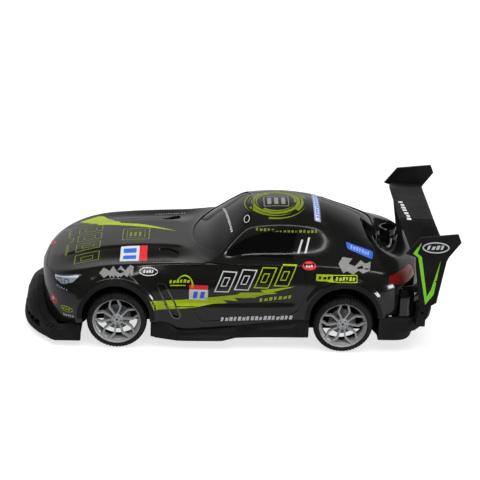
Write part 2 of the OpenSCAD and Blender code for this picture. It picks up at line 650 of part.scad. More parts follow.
module motor_pinion() {
  color([0.75, 0.62, 0.3]) across(motor_at, 3.8) difference() {
    linear_extrude(5) rotate(front_mesh_angle + 180 + 180 / pinion_teeth)
      gear_2d(module_front, pinion_teeth);
    translate([0, 0, -1]) cylinder(r = motor_shaft_r, h = 20, $fn = 48);
  }
}
motor_len = 30;
module motor_shaft() {
  color([0.75, 0.75, 0.76]) across(motor_at, case_y0 - motor_len - 2)
    cylinder(r = motor_shaft_r, h = motor_len + 16.6, $fn = 48);
}
module motor_can() {
  color([0.7, 0.7, 0.72]) across(motor_at, case_y0 - motor_len) difference() {
    union() {
      cylinder(r = 12, h = motor_len);
      translate([0, 0, -2]) cylinder(r = 3, h = 3);
    }
    translate([0, 0, -3]) cylinder(r = motor_shaft_r + 0.06, h = motor_len + 4, $fn = 48);
  }
}
module intermediate_shaft() {
  color([0.75, 0.75, 0.76]) across(mid_shaft, case_y0) cylinder(r = mid_shaft_r, h = case_y1 - case_y0, $fn = 48);
}
module case_outline() {
  polygon([[case_x0, 7.8], [case_x0, 34], [-72, 42], [-50, 42], [case_x1, 37], [case_x1, 11.2],
    [-60, 11.2], [-60, 7.8]]);
}
module case_holes() {
  across(rear_axle_at, -20) cylinder(r = axle_r + 0.5, h = 40);
  across(mid_shaft, -20) cylinder(r = mid_shaft_r, h = 40, $fn = 48);
}
module gearbox_case() {
  color([0.12, 0.12, 0.12]) difference() {
    across([0, 0], case_y0) linear_extrude(case_y1 - wall_t - case_y0) case_outline();
    across([0, 0], case_y0 + wall_t) linear_extrude(30) offset(delta = -1.2) case_outline();
    case_holes();
    across(motor_at, -20) cylinder(r = 3.4, h = 40);
  }
}
module gearbox_cover() {
  color([0.14, 0.14, 0.14]) difference() {
    across([0, 0], case_y1 - wall_t) linear_extrude(wall_t) case_outline();
    case_holes();
    across(motor_at, 8) cylinder(r = 1.6, h = 40);
  }
}
axle_end = 57.4;
module rear_axle() {
  color([0.75, 0.75, 0.76]) across(rear_axle_at, -axle_end) cylinder(r = axle_r, h = 2 * axle_end);
}
module axle_bushes() {
  color([0.8, 0.65, 0.35]) for (side = [-1, 1]) mirrored(side) across(rear_axle_at, upright_y - 0.8) difference() {
    union() {
      cylinder(r = bush_r, h = upright_t + 0.8);
      cylinder(r = 4.2, h = 0.8);
    }
    translate([0, 0, -1]) cylinder(r = axle_r + 0.05, h = 8);
  }
}

// Wheels, drawn for the left side: outer face towards +Y
tyre_y0 = track_half - tyre_w;
rim_face = track_half - 1.2;
spoke_t = 2.6;
hub_r = 4.6;
inner_round = 2.6;
outer_round = 3.6;
module wheel_at(x, side) {
  mirrored(side) translate([x, 0, axle_z]) mirror([0, 1, 0]) rotate([90, 0, 0]) children();
}
module tyre(x, side) {
  color([0.03, 0.03, 0.03]) wheel_at(x, side) rotate_extrude($fn = 96)
    polygon(concat([[rim_r, tyre_y0 + 0.8]],
      [for (a = [0:15:90]) [tyre_r - inner_round * (1 - sin(a)), tyre_y0 + inner_round * (1 - cos(a))]],
      [for (a = [0:15:90]) [tyre_r - outer_round * (1 - cos(a)), track_half - outer_round * (1 - sin(a))]],
      [[rim_r, track_half - 0.8]]));
}
module spoke() {
  for (s = [-1, 1]) polygon([[2, -s * 0.6], [9, s * 1.4], [16.4, s * 3.5], [16.2, s * 5.8], [9, s * 3.2], [3, s * 3]]);
}
module rim(x, side, bore_r, hub_in) {
  color([0.75, 0.76, 0.78]) wheel_at(x, side) difference() {
    union() {
      rotate_extrude($fn = 96) polygon([[15.6, tyre_y0 + 1], [17, tyre_y0 + 1], [rim_r, tyre_y0 + 1.6],
        [rim_r, rim_face], [16.4, rim_face], [15.8, rim_face - 1.2]]);
      translate([0, 0, rim_face - 0.8 - spoke_t]) linear_extrude(spoke_t)
        for (k = [0:4]) rotate(90 + 72 * k) spoke();
      translate([0, 0, hub_in]) cylinder(r = hub_r, h = rim_face - 1 - hub_in);
    }
    translate([0, 0, hub_in - 1]) cylinder(r = bore_r, h = stub_end - hub_in + 1.2);
    translate([0, 0, stub_end]) cylinder(r = 3.4, h = 10);
  }
}
module wheel_disc(x, side) {
  color([0.6, 0.6, 0.62]) wheel_at(x, side) translate([0, 0, 55]) difference() {
    cylinder(r = 9.8, h = 1);
    translate([0, 0, -1]) cylinder(r = hub_r, h = 3);
    for (k = [0:9]) rotate(36 * k) translate([7.6, 0, -1]) cylinder(r = 0.7, h = 3, $fn = 24);
  }
}
module wheel_screw(x, side, start) {
  color([0.7, 0.7, 0.72]) wheel_at(x, side) {
    translate([0, 0, stub_end + 0.3]) cylinder(r = 3, h = 1.8);
    translate([0, 0, start]) cylinder(r = 0.9, h = stub_end + 0.4 - start, $fn = 32);
  }
}
module rear_wheel_screws() {
  for (side = [-1, 1]) wheel_screw(-rear_x, side, axle_end);
}
module body_screws() {
  color([0.7, 0.7, 0.72]) for (side = [-1, 1], p = post_at) translate([p[0], side * p[1], 0]) {
    translate([0, 0, screw_seat_z - 2]) cylinder(r = 2.6, h = 2);
    translate([0, 0, screw_seat_z - 2]) cylinder(r = 1.25, h = 13, $fn = 32);
  }
}

body_shell();
windscreen();
rear_window();
side_window(1);  // side_window_left
side_window(-1);  // side_window_right
headlamp_lens(1);  // headlamp_lens_left
headlamp_lens(-1);  // headlamp_lens_right
tail_lamp_lens(1);  // tail_lamp_lens_left
tail_lamp_lens(-1);  // tail_lamp_lens_right
front_bumper();
side_skirt(1);  // side_skirt_left
side_skirt(-1);  // side_skirt_right
rear_bumper();
wing_blade();
wing_end_plate(1);  // wing_end_plate_left
wing_end_plate(-1);  // wing_end_plate_right
filler_neck();
water_tank();
atomizer_disc();
chassis_tray();
front_top_plate();
steering_servo();
servo_arm();
tie_rod();
knuckle(1);  // knuckle_left
knuckle(-1);  // knuckle_right
battery_pack();
battery_door();
control_board();
antenna_wire();
switch_housing();
switch_slider();
lamp_boards();
gearbox_case();
gearbox_cover();
motor_can();
motor_shaft();
motor_pinion();
intermediate_shaft();
intermediate_gear();
axle_gear();
rear_axle();
axle_bushes();
rim(front_x, 1, stub_r + 0.06, 45.5);  // front_rim_left
rim(front_x, -1, stub_r + 0.06, 45.5);  // front_rim_right
rim(-rear_x, 1, axle_r, 42);  // rear_rim_left
rim(-rear_x, -1, axle_r, 42);  // rear_rim_right
tyre(front_x, 1);  // front_tyre_left
tyre(front_x, -1);  // front_tyre_right
tyre(-rear_x, 1);  // rear_tyre_left
tyre(-rear_x, -1);  // rear_tyre_right
wheel_disc(front_x, 1);  // front_disc_left
wheel_disc(front_x, -1);  // front_disc_right
wheel_disc(-rear_x, 1);  // rear_disc_left
wheel_disc(-rear_x, -1);  // rear_disc_right
wheel_screw(front_x, 1, stub_end - 7);  // front_wheel_screw_left
wheel_screw(front_x, -1, stub_end - 7);  // front_wheel_screw_right
rear_wheel_screws();
body_screws();
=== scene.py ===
"""Looks of a 1:16 radio-controlled drift car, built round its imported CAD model.

Shapes are worked out in millimetres, in the model's own frame: +X nose, +Y left, +Z up, origin on the ground.
"""
import math

import bmesh
import bpy
import numpy as np
from mathutils import Matrix, Vector
from mathutils.bvhtree import BVHTree
from mathutils.geometry import delaunay_2d_cdt


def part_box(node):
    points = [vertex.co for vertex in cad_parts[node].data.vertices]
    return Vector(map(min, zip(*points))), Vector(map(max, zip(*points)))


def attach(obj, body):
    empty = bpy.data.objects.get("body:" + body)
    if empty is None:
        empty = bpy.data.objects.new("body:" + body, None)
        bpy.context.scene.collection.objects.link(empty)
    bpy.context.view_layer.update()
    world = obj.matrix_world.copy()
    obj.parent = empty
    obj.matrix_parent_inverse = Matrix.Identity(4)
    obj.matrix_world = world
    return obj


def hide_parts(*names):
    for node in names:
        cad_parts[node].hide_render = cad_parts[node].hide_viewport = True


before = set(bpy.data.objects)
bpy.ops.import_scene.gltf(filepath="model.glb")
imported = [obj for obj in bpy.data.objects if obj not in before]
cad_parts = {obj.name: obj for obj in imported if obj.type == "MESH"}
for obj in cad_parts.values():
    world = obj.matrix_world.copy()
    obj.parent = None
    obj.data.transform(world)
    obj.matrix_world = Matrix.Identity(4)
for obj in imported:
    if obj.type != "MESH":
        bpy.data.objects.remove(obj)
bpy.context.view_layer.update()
MM = 0.001


def cad_mm(node):
    """Lowest and highest corner of a CAD node, in millimetres."""
    low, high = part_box(node)
    return np.array(low) / MM, np.array(high) / MM


# ---------------------------------------------------------------- meshes

def shade(mesh, angle=30):
    """Smooth shading, with edges sharper than the angle kept crisp."""
    bm = bmesh.new()
    bm.from_mesh(mesh)
    limit = math.radians(angle)
    for face in bm.faces:
        face.smooth = True
    for edge in bm.edges:
        edge.smooth = len(edge.link_faces) == 2 and edge.calc_face_angle(0) < limit
    bm.to_mesh(mesh)
    bm.free()


def make(name, verts, faces, material=None, angle=30):
    """New mesh object from points in millimetres."""
    mesh = bpy.data.meshes.new(name)
    mesh.from_pydata([tuple(v) for v in np.asarray(verts, float) * MM], [],
                     [list(map(int, f)) for f in faces])
    mesh.validate()
    bm = bmesh.new()
    bm.from_mesh(mesh)
    bmesh.ops.recalc_face_normals(bm, faces=bm.faces)
    if bm.calc_volume(signed=True) < 0:
        bmesh.ops.reverse_faces(bm, faces=bm.faces)
    bm.to_mesh(mesh)
    bm.free()
    shade(mesh, angle)
    thing = bpy.data.objects.new(name, mesh)
    bpy.context.scene.collection.objects.link(thing)
    if material:
        mesh.materials.append(material)
    return thing


def drop(*things):
    for thing in things:
        bpy.data.objects.remove(thing)


def bake(thing, angle=30):
    """Applies all modifiers of a piece."""
    graph = bpy.context.evaluated_depsgraph_get()
    mesh = bpy.data.meshes.new_from_object(thing.evaluated_get(graph))
    thing.modifiers.clear()
    thing.data = mesh
    shade(mesh, angle)
    return thing


def combine(thing, other, operation="DIFFERENCE", keep=False):
    cut = thing.modifiers.new("cut", "BOOLEAN")
    cut.operation = operation
    cut.solver = "MANIFOLD"
    cut.object = other
    bake(thing)
    if not keep:
        drop(other)
    return thing


def copy(thing, name):
    twin = bpy.data.objects.new(name, thing.data.copy())
    bpy.context.scene.collection.objects.link(twin)
    return twin


def paint(thing, material):
    thing.data.materials.clear()
    thing.data.materials.append(material)
    for face in thing.data.polygons:
        face.material_index = 0
    return thing


def bevel(thing, width, segments=2, angle=30, apply=False):
    edge = thing.modifiers.new("edge", "BEVEL")
    edge.width = width * MM
    edge.segments = segments
    edge.limit_method = "ANGLE"
    edge.angle_limit = math.radians(angle)
    edge.harden_normals = False
    if apply:
        bake(thing)
    return thing


def finish_piece(thing, body, material_slot, *replaced):
    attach(thing, body)
    if replaced:
        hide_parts(*replaced)
    return thing


# How a flat outline stands: (x, y) square to z, (x, z) square to y and (y, z) square to x
STAND = {
    "z": lambda p, h: (p[0], p[1], h),
    "y": lambda p, h: (p[0], h, p[1]),
    "x": lambda p, h: (h, p[0], p[1]),
}


def prism(outline, low, high, axis="z"):
    """Closed prism over a 2D outline, which STAND places square to the axis."""
    n = len(outline)
    verts = [STAND[axis](p, h) for h in (low, high) for p in outline]
    faces = [list(range(n)), list(range(2 * n - 1, n - 1, -1))]
    faces += [[i, (i + 1) % n, n + (i + 1) % n, n + i] for i in range(n)]
    return make("prism", verts, faces)


def turned(thing, at, angle):
    """Turns a piece about the vertical and moves it to a place, in millimetres."""
    thing.data.transform(Matrix.Translation(Vector(at) * MM) @ Matrix.Rotation(math.radians(angle), 4, "Z"))
    return thing


def mirror_y(thing, name=None):
    twin = copy(thing, name or thing.name + "_mirrored")
    twin.data.transform(Matrix.Scale(-1, 4, (0, 1, 0)))
    twin.data.flip_normals()
    return twin


def spin(profile, steps, centre=(0, 0, 0), axis="y", name="turned", material=None, angle=30):
    """Closed profile of (radius, height) turned round an axis through the centre."""
    n = len(profile)
    verts = []
    for k in range(steps):
        a = 2 * math.pi * k / steps
        for r, h in profile:
            p = {"y": (r * math.cos(a), h, r * math.sin(a)), "z": (r * math.cos(a), r * math.sin(a), h)}[axis]
            verts.append(np.add(p, centre))
    faces = []
    for k in range(steps):
        for i in range(n):
            j, m = (i + 1) % n, (k + 1) % steps
            faces.append([k * n + i, m * n + i, m * n + j, k * n + j])
    return make(name, verts, faces, material, angle)


def join(name, pieces):
    """One object from several, in the order given."""
    mesh = bpy.data.meshes.new(name)
    bm = bmesh.new()
    mats = []
    for piece in pieces:
        for m in piece.data.materials:
            if m not in mats:
                mats.append(m)
    for piece in pieces:
        first = len(bm.faces)
        bm.from_mesh(piece.data)
        bm.faces.ensure_lookup_table()
        index = [mats.index(m) for m in piece.data.materials] or [0]
        for face in bm.faces[first:]:
            face.material_index = index[face.material_index]
    bm.to_mesh(mesh)
    bm.free()
    for m in mats:
        mesh.materials.append(m)
    thing = bpy.data.objects.new(name, mesh)
    bpy.context.scene.collection.objects.link(thing)
    drop(*pieces)
    return thing


# ---------------------------------------------------------------- materials

def rgb(red, green, blue):
    """Linear colour from the usual 0 to 255 screen values."""
    return tuple((v / 255 / 12.92 if v < 11 else ((v / 255 + 0.055) / 1.055) ** 2.4)
                 for v in (red, green, blue)) + (1,)


class Graph:
    """Short way to write a material's nodes."""

    def __init__(self, name):
        self.material = bpy.data.materials.new(name)
        self.material.use_nodes = True
        self.tree = self.material.node_tree
        self.shader = self.tree.nodes["Principled BSDF"]
        self.place = self.add("ShaderNodeTexCoord").outputs["Object"]

    def add(self, kind, **settings):
        node = self.tree.nodes.new(kind)
        for key, value in settings.items():
            setattr(node, key, value)
        return node

    def link(self, out, into):
        self.tree.links.new(out, into)

    def noise(self, per_mm, detail=2.0, rough=0.5, stretch=(1, 1, 1)):
        """Noise with the given number of features per millimetre."""
        moved = self.add("ShaderNodeMapping")
        moved.inputs["Scale"].default_value = tuple(s * per_mm / MM for s in stretch)
        self.link(self.place, moved.inputs["Vector"])
        node = self.add("ShaderNodeTexNoise")
        node.inputs["Scale"].default_value = 1
        node.inputs["Detail"].default_value = detail
        node.inputs["Roughness"].default_value = rough
        self.link(moved.outputs[0], node.inputs["Vector"])
        return node.outputs["Fac"]

    def ramp(self, value, low, high, out_low, out_high):
        node = self.add("ShaderNodeMapRange")
        for key, v in zip(("From Min", "From Max", "To Min", "To Max"), (low, high, out_low, out_high)):
            node.inputs[key].default_value = v
        self.link(value, node.inputs["Value"])
        return node.outputs[0]

    def mix(self, factor, a, b):
        node = self.add("ShaderNodeMix", data_type="RGBA")
        if isinstance(factor, (int, float)):
            node.inputs[0].default_value = factor
        else:
            self.link(factor, node.inputs[0])
        for socket, value in ((node.inputs[6], a), (node.inputs[7], b)):
            if isinstance(value, tuple):
                socket.default_value = value
            else:
                self.link(value, socket)
        return node.outputs[2]

    def math(self, operation, a, b=0.0):
        node = self.add("ShaderNodeMath", operation=operation)
        for socket, value in zip(node.inputs, (a, b)):
            if isinstance(value, (int, float)):
                socket.default_value = value
            else:
                self.link(value, socket)
        return node.outputs[0]

    def bump(self, *layers):
        """Layers are (height, depth in millimetres)."""
        normal = None
        for height, depth in layers:
            node = self.add("ShaderNodeBump")
            node.inputs["Strength"].default_value = 1
            node.inputs["Distance"].default_value = depth * MM
            self.link(height, node.inputs["Height"])
            if normal:
                self.link(normal, node.inputs["Normal"])
            normal = node.outputs[0]
        self.link(normal, self.shader.inputs["Normal"])

    def set(self, **values):
        for key, value in values.items():
            socket = self.shader.inputs[key.replace("_", " ")]
            if isinstance(value, (int, float, tuple)):
                socket.default_value = value
            else:
                self.link(value, socket)


def wear(g, colour, pale, amount):
    """Pale scuffs in small scattered patches and along sharp edges."""
    patches = g.ramp(g.noise(0.35, 6, 0.75), 0.62, 0.72, 0, amount)
    edges = g.ramp(g.add("ShaderNodeNewGeometry").outputs["Pointiness"], 0.53, 0.6, 0, amount)
    worn = g.math("MAXIMUM", patches, edges)
    return g.mix(worn, colour, pale), worn


def moulded(name, colour, rough=0.45, grain=0.012, grain_per_mm=3.0, tint=0.12, worn=0.12, specular=0.5):
    """Moulded plastic: mottled colour, grained or polished surface, scuffed edges."""
    g = Graph(name)
    dark = tuple(c * (1 - tint) for c in colour[:3]) + (1,)
    pale = tuple(min(1, c * (1 + tint) + 0.004) for c in colour[:3]) + (1,)
    base = g.mix(g.ramp(g.noise(0.05, 3), 0.35, 0.65, 0, 1), dark, pale)
    scuffed = tuple(min(1, c * 1.5 + 0.05) for c in colour[:3]) + (1,)
    base, patches = wear(g, base, scuffed, worn)
    fine = g.noise(grain_per_mm, 3, 0.6)
    rough_map = g.ramp(g.noise(0.12, 5, 0.7), 0.3, 0.7, rough - 0.06, rough + 0.07)
    g.set(Base_Color=base, Roughness=g.math("ADD", rough_map, g.math("MULTIPLY", patches, 0.3)))
    g.set(Specular_IOR_Level=specular)
    g.bump((g.noise(0.08, 2), 0.02), (fine, grain))
    return g.material


def lacquered(name, colour, rough=0.12, coat=0.7, flow=0.02, speck=0.0, tint=0.1):
    """Glossy lacquered plastic with a faint orange peel, dust specks and hairline scratches."""
    g = Graph(name)
    dark = tuple(c * (1 - tint) for c in colour[:3]) + (1,)
    pale = tuple(min(1, c * (1 + tint) + 0.002) for c in colour[:3]) + (1,)
    base = g.mix(g.ramp(g.noise(0.03, 4), 0.35, 0.65, 0, 1), dark, pale)
    dust = g.ramp(g.noise(1.6, 3, 0.7), 0.7, 0.78, 0, speck)
    base = g.mix(dust, base, (0.4, 0.4, 0.38, 1))
    hair = g.ramp(g.noise(0.9, 8, 0.8, (0.05, 1.0, 1.0)), 0.6, 0.72, 0, 0.1)
    rough_map = g.ramp(g.noise(0.06, 5, 0.65), 0.3, 0.7, rough * 0.75, rough * 1.3)
    g.set(Base_Color=base, Roughness=g.math("ADD", rough_map, g.math("ADD", hair, dust)))
    g.set(Coat_Weight=coat, Coat_Roughness=g.ramp(g.noise(0.1, 4), 0.3, 0.7, 0.03, 0.08), Coat_IOR=1.5)
    g.bump((g.noise(0.22, 2), flow), (g.noise(1.2, 2), flow * 0.12))
    return g.material


def printed(name, colour, rough=0.3):
    """Printed film: even ink with slight density changes, tiny gaps and a satin coat."""
    g = Graph(name)
    thin = tuple(c * 0.86 for c in colour[:3]) + (1,)
    base = g.mix(g.ramp(g.noise(0.4, 5, 0.7), 0.35, 0.65, 0, 1), thin, colour)
    gaps = g.ramp(g.noise(2.2, 3, 0.7), 0.72, 0.76, 0, 0.5)
    base = g.mix(gaps, base, tuple(c * 0.4 for c in colour[:3]) + (1,))
    g.set(Base_Color=base, Roughness=g.ramp(g.noise(0.3, 4), 0.3, 0.7, rough - 0.06, rough + 0.08))
    g.set(Coat_Weight=0.1, Coat_Roughness=0.12, Specular_IOR_Level=0.3)
    g.bump((g.noise(2.5, 2), 0.003))
    return g.material


def metal(name, colour, rough=0.22, brushed=(1, 1, 1), marks=0.1, grain=0.004, metallic=1.0):
    """Metal or plating with fine drawn marks, dull patches and worn edges."""
    g = Graph(name)
    dull = tuple(c * 0.72 for c in colour[:3]) + (1,)
    base = g.mix(g.ramp(g.noise(0.25, 5, 0.7), 0.45, 0.75, 0, 0.6), colour, dull)
    lines = g.noise(2.5, 4, 0.7, brushed)
    g.set(Base_Color=base, Metallic=metallic)
    g.set(Roughness=g.math("ADD", g.ramp(g.noise(0.2, 5), 0.3, 0.7, rough - 0.05, rough + 0.08),
                           g.math("MULTIPLY", lines, marks)))
    g.bump((lines, grain), (g.noise(0.3, 3), 0.008))
    return g.material


def glass(name, colour, clear=0.1, rough=0.05, coat=1.0):
    """Tinted moulded window: mostly opaque, a little see-through, glossy."""
    g = Graph(name)
    base = g.mix(g.ramp(g.noise(0.05, 3), 0.4, 0.6, 0, 1), colour, tuple(c * 1.25 for c in colour[:3]) + (1,))
    g.set(Base_Color=base, Roughness=g.ramp(g.noise(0.15, 5), 0.3, 0.7, rough, rough + 0.06))
    g.set(Coat_Weight=coat, Coat_Roughness=0.03, Alpha=1 - clear, Specular_IOR_Level=0.4)
    g.bump((g.noise(0.12, 2), 0.015))
    return g.material


def rubber(name):
    g = Graph(name)
    dusty = g.ramp(g.noise(0.25, 6, 0.75), 0.45, 0.75, 0, 0.5)
    base = g.mix(dusty, rgb(20, 20, 21), rgb(44, 43, 42))
    g.set(Base_Color=base, Roughness=g.ramp(g.noise(0.5, 4), 0.3, 0.7, 0.6, 0.85), Specular_IOR_Level=0.35)
    g.bump((g.noise(4.0, 4, 0.7), 0.03), (g.noise(0.4, 3), 0.03))
    return g.material


PAINT = lacquered("shell_paint", rgb(17, 17, 15), rough=0.15, coat=0.2, flow=0.03, speck=0.03, tint=0.12)
MATTE = moulded("black_plastic", rgb(14, 14, 14), rough=0.5, grain=0.02, worn=0.06, specular=0.22)
WING = moulded("wing_plastic", rgb(11, 11, 12), rough=0.42, grain=0.01, worn=0.05, specular=0.14)
GLOSS = lacquered("gloss_black", rgb(9, 9, 10), rough=0.12, coat=0.6, flow=0.02, speck=0.03)
FRAME = moulded("frame_plastic", rgb(20, 20, 21), rough=0.55, grain=0.025, worn=0.1, specular=0.3)
GLASS = glass("glazing", rgb(4, 4, 5), clear=0.05, coat=0.15)
LIME = printed("ink_lime", rgb(158, 180, 14))
OLIVE = printed("ink_olive", rgb(108, 122, 22))
GREY = printed("ink_grey", rgb(128, 128, 126))
# Bright metal: real trim on the rear corner arch, and a painted highlight on the raised rim round each gill
TRIM_AND_HIGHLIGHT = metal("bright_trim_and_painted_highlight", rgb(120, 120, 118), rough=0.22)
GREEN = printed("ink_green", rgb(128, 214, 42))
WHITE = printed("ink_white", rgb(200, 202, 204))
RED = printed("ink_red", rgb(206, 44, 52))
BLUE = printed("ink_blue", rgb(52, 96, 200))
PALE_BLUE = printed("ink_pale_blue", rgb(150, 166, 220))
INK_BLACK = printed("ink_black", rgb(22, 22, 22))
CHROME = metal("wheel_chrome", rgb(176, 177, 179), rough=0.36, marks=0.1, metallic=0.4)
DISC = metal("disc_metal", rgb(140, 140, 142), rough=0.42, marks=0.2, metallic=0.4)
STEEL = metal("steel", rgb(176, 176, 178), rough=0.26, brushed=(1, 0.06, 1))
BRASS = metal("brass", rgb(200, 164, 92), rough=0.28)
TYRE = rubber("tyre")
RED_GLASS = lacquered("tail_lamp_red", rgb(112, 14, 16), rough=0.1, coat=1.0, flow=0.01)
LAMP_CLEAR = lacquered("headlamp_clear", rgb(128, 142, 156), rough=0.15, coat=1.0, flow=0.01, tint=0.2)
NYLON = moulded("nylon", rgb(226, 220, 198), rough=0.4, grain=0.01, worn=0.05)
TANK = glass("tank_plastic", rgb(196, 206, 212), clear=0.35, rough=0.2)
WRAP = printed("battery_wrap", rgb(46, 84, 176), rough=0.25)
BOARD = lacquered("circuit_board", rgb(20, 82, 40), rough=0.35, coat=0.4, flow=0.01, tint=0.3)
SERVO = moulded("servo_case", rgb(34, 36, 52), rough=0.35, grain=0.01)
WIRE = moulded("wire_cover", rgb(20, 20, 20), rough=0.5, grain=0.01)

# ---------------------------------------------------------------- lines of the body

shell_low, shell_high = cad_mm("body_shell")
NOSE, TAIL = shell_high[0], -shell_low[0]
ROOF = 95.0
DOOR = 62.0
FLARE = 2.8
ROUND_FROM = 100.0
PLAN_POWER = 2.6
WALL = 1.6
FRONT_X = cad_mm("front_tyre_left")[0][0] / 2 + cad_mm("front_tyre_left")[1][0] / 2
REAR_X = cad_mm("rear_tyre_left")[0][0] / 2 + cad_mm("rear_tyre_left")[1][0] / 2
ARCHES = ((FRONT_X + 0.6, 25.0, 24.4), (REAR_X, 28.0, 24.6))

# Lines that run the length of the body, as (x, value)
Z_CENTRE = [(-TAIL, 44), (-138, 53), (-134, 60), (-126, 62), (-113, 63), (-106, 70), (-97, 78.5),
            (-80, 86.5), (-64, 92), (-50, ROOF - 0.4), (-35, ROOF), (-11, ROOF - 2.1), (12, 79), (34, 64),
            (60, 64.4), (90, 62.6), (115, 58.6), (130, 54.2), (139, 49.5), (NOSE, 42)]
Y_RAIL = [(-TAIL, 38), (-125, 38), (-110, 34), (-98, 30), (-75, 29), (-55, 31), (-35, 32), (-10, 33),
          (3, 39.5), (15.6, 47), (25, 36), (34, 23.5), (60, 23.5), (NOSE, 23.5)]
Z_RAIL = [(-TAIL, 43.5), (-138, 52), (-134, 58.5), (-126, 61.5), (-115, 65), (-98, 73.5), (-75, 81.5),
          (-55, 87), (-35, 88.4), (-10, 86.3), (3, 76.5), (15.6, 65.6), (34, 63.9), (60, 64.4),
          (90, 62.2), (115, 58), (130, 53.6), (139, 49), (NOSE, 41.5)]
Y_BELT = [(-TAIL, 46), (-115, 46), (-75, 47), (-45, 50), (-20, 51), (8, 51), (16, 49.5), (40, 40), (NOSE, 38)]
Z_BELT = [(-TAIL, 43), (-136, 54), (-126, 60.5), (-115, 63), (-98, 66.5), (-75, 70), (-45, 68),
          (-20, 67), (15, 65), (40, 61.8), (90, 59.2), (115, 55.4), (130, 51.6), (139, 47.6), (NOSE, 41)]
Y_SHOULDER = [(-TAIL, 51), (-98, 54), (-75, 55.5), (-20, 55.5), (15, 53), (40, 49.8), (NOSE, 49)]
Z_SHOULDER = [(-TAIL, 42), (-136, 52), (-126, 59), (-115, 61), (-98, 63), (-75, 64.5), (-45, 65.6),
              (-20, 65.6), (15, 64), (63, 61.9), (95, 59.2), (112, 55.6), (124, 52), (134, 48.4),
              (140, 45.4), (NOSE, 40)]
Z_LOWER = [(-TAIL, 30), (-108, 29), (-98, 28), (-51, 25.5), (38, 15), (41, 15.5), (49, 21), (57, 21.5),
           (98, 22), (112, 19), (120, 16.4), (129, 14), (137, 13.4), (NOSE, 13.4)]
Y_SIDE = [(-TAIL, 60), (-110, DOOR + 1), (REAR_X, DOOR + FLARE), (-52, DOOR + 0.3), (0, DOOR - 0.4),
          (55, DOOR + 0.3), (FRONT_X, DOOR + FLARE), (112, DOOR + 0.6), (NOSE, 61)]


def curve(points, x):
    """Smooth curve through the points that never overshoots them."""
    p = np.array(points, float)
    width = np.diff(p[:, 0])
    slope = np.diff(p[:, 1]) / width
    same = slope[:-1] * slope[1:] > 0
    inner = np.where(same, 2 * slope[:-1] * slope[1:] / np.where(same, slope[:-1] + slope[1:], 1), 0)
    m = np.concatenate([slope[:1], inner, slope[-1:]])
    i = np.clip(np.searchsorted(p[:, 0], x, side="right") - 1, 0, len(width) - 1)
    t = (x - p[i, 0]) / width[i]
    return (p[i, 1] * (1 + 2 * t) * (1 - t) ** 2 + p[i + 1, 1] * t * t * (3 - 2 * t)
            + m[i] * width[i] * t * (1 - t) ** 2 - m[i + 1] * width[i] * t * t * (1 - t))


def line(points, x, reach=3.0):
    """The curve, averaged over a short length so that its bends run smoothly."""
    room = np.minimum(reach, np.minimum(x + TAIL, NOSE - x) / 2)
    steps = np.linspace(-2, 2, 9)
    weights = np.exp(-steps ** 2 / 2)
    return sum(w * curve(points, x + s * room) for s, w in zip(steps, weights)) / weights.sum()


def plan_round(x):
    """How much the plan narrows towards each end."""
    u = np.clip(np.where(x > 0, (x - ROUND_FROM) / (NOSE - ROUND_FROM),
                         (-x - ROUND_FROM) / (TAIL - ROUND_FROM)), 0, 1)
    return np.maximum(0.03, np.sqrt(np.maximum(0, 1 - u ** PLAN_POWER)))


def smooth_step(t):
    t = np.clip(t, 0, 1)
    return t * t * (3 - 2 * t)


def section_points(x):
    """Nine points of the half section at each x, from the centre line down to the lower edge."""
    r = plan_round(x)
    zc, yr, zr = line(Z_CENTRE, x), line(Y_RAIL, x), line(Z_RAIL, x)
    yb, zb, ys, zs = line(Y_BELT, x), line(Z_BELT, x), line(Y_SHOULDER, x), line(Z_SHOULDER, x)
    yw, zl = line(Y_SIDE, x), line(Z_LOWER, x)
    rows = [(0 * x, zc), (yr * r * 0.5, zc - (zc - zr) * 0.27), (yr * r, zr), (yb * r, zb), (ys * r, zs),
            ((ys + (yw - ys) * 0.72) * r, zs - (zs - zl) * 0.24), (yw * r, zs - (zs - zl) * 0.58),
            ((yw - 0.4) * r, zl + (zs - zl) * 0.12), ((yw - 1) * r, zl)]
    return np.array([np.stack([y, z], -1) for y, z in rows]).transpose(1, 0, 2)


RAIL, SHOULDER = 2, 4
STEPS = (10, 10, 14, 12, 20, 20, 24, 6)


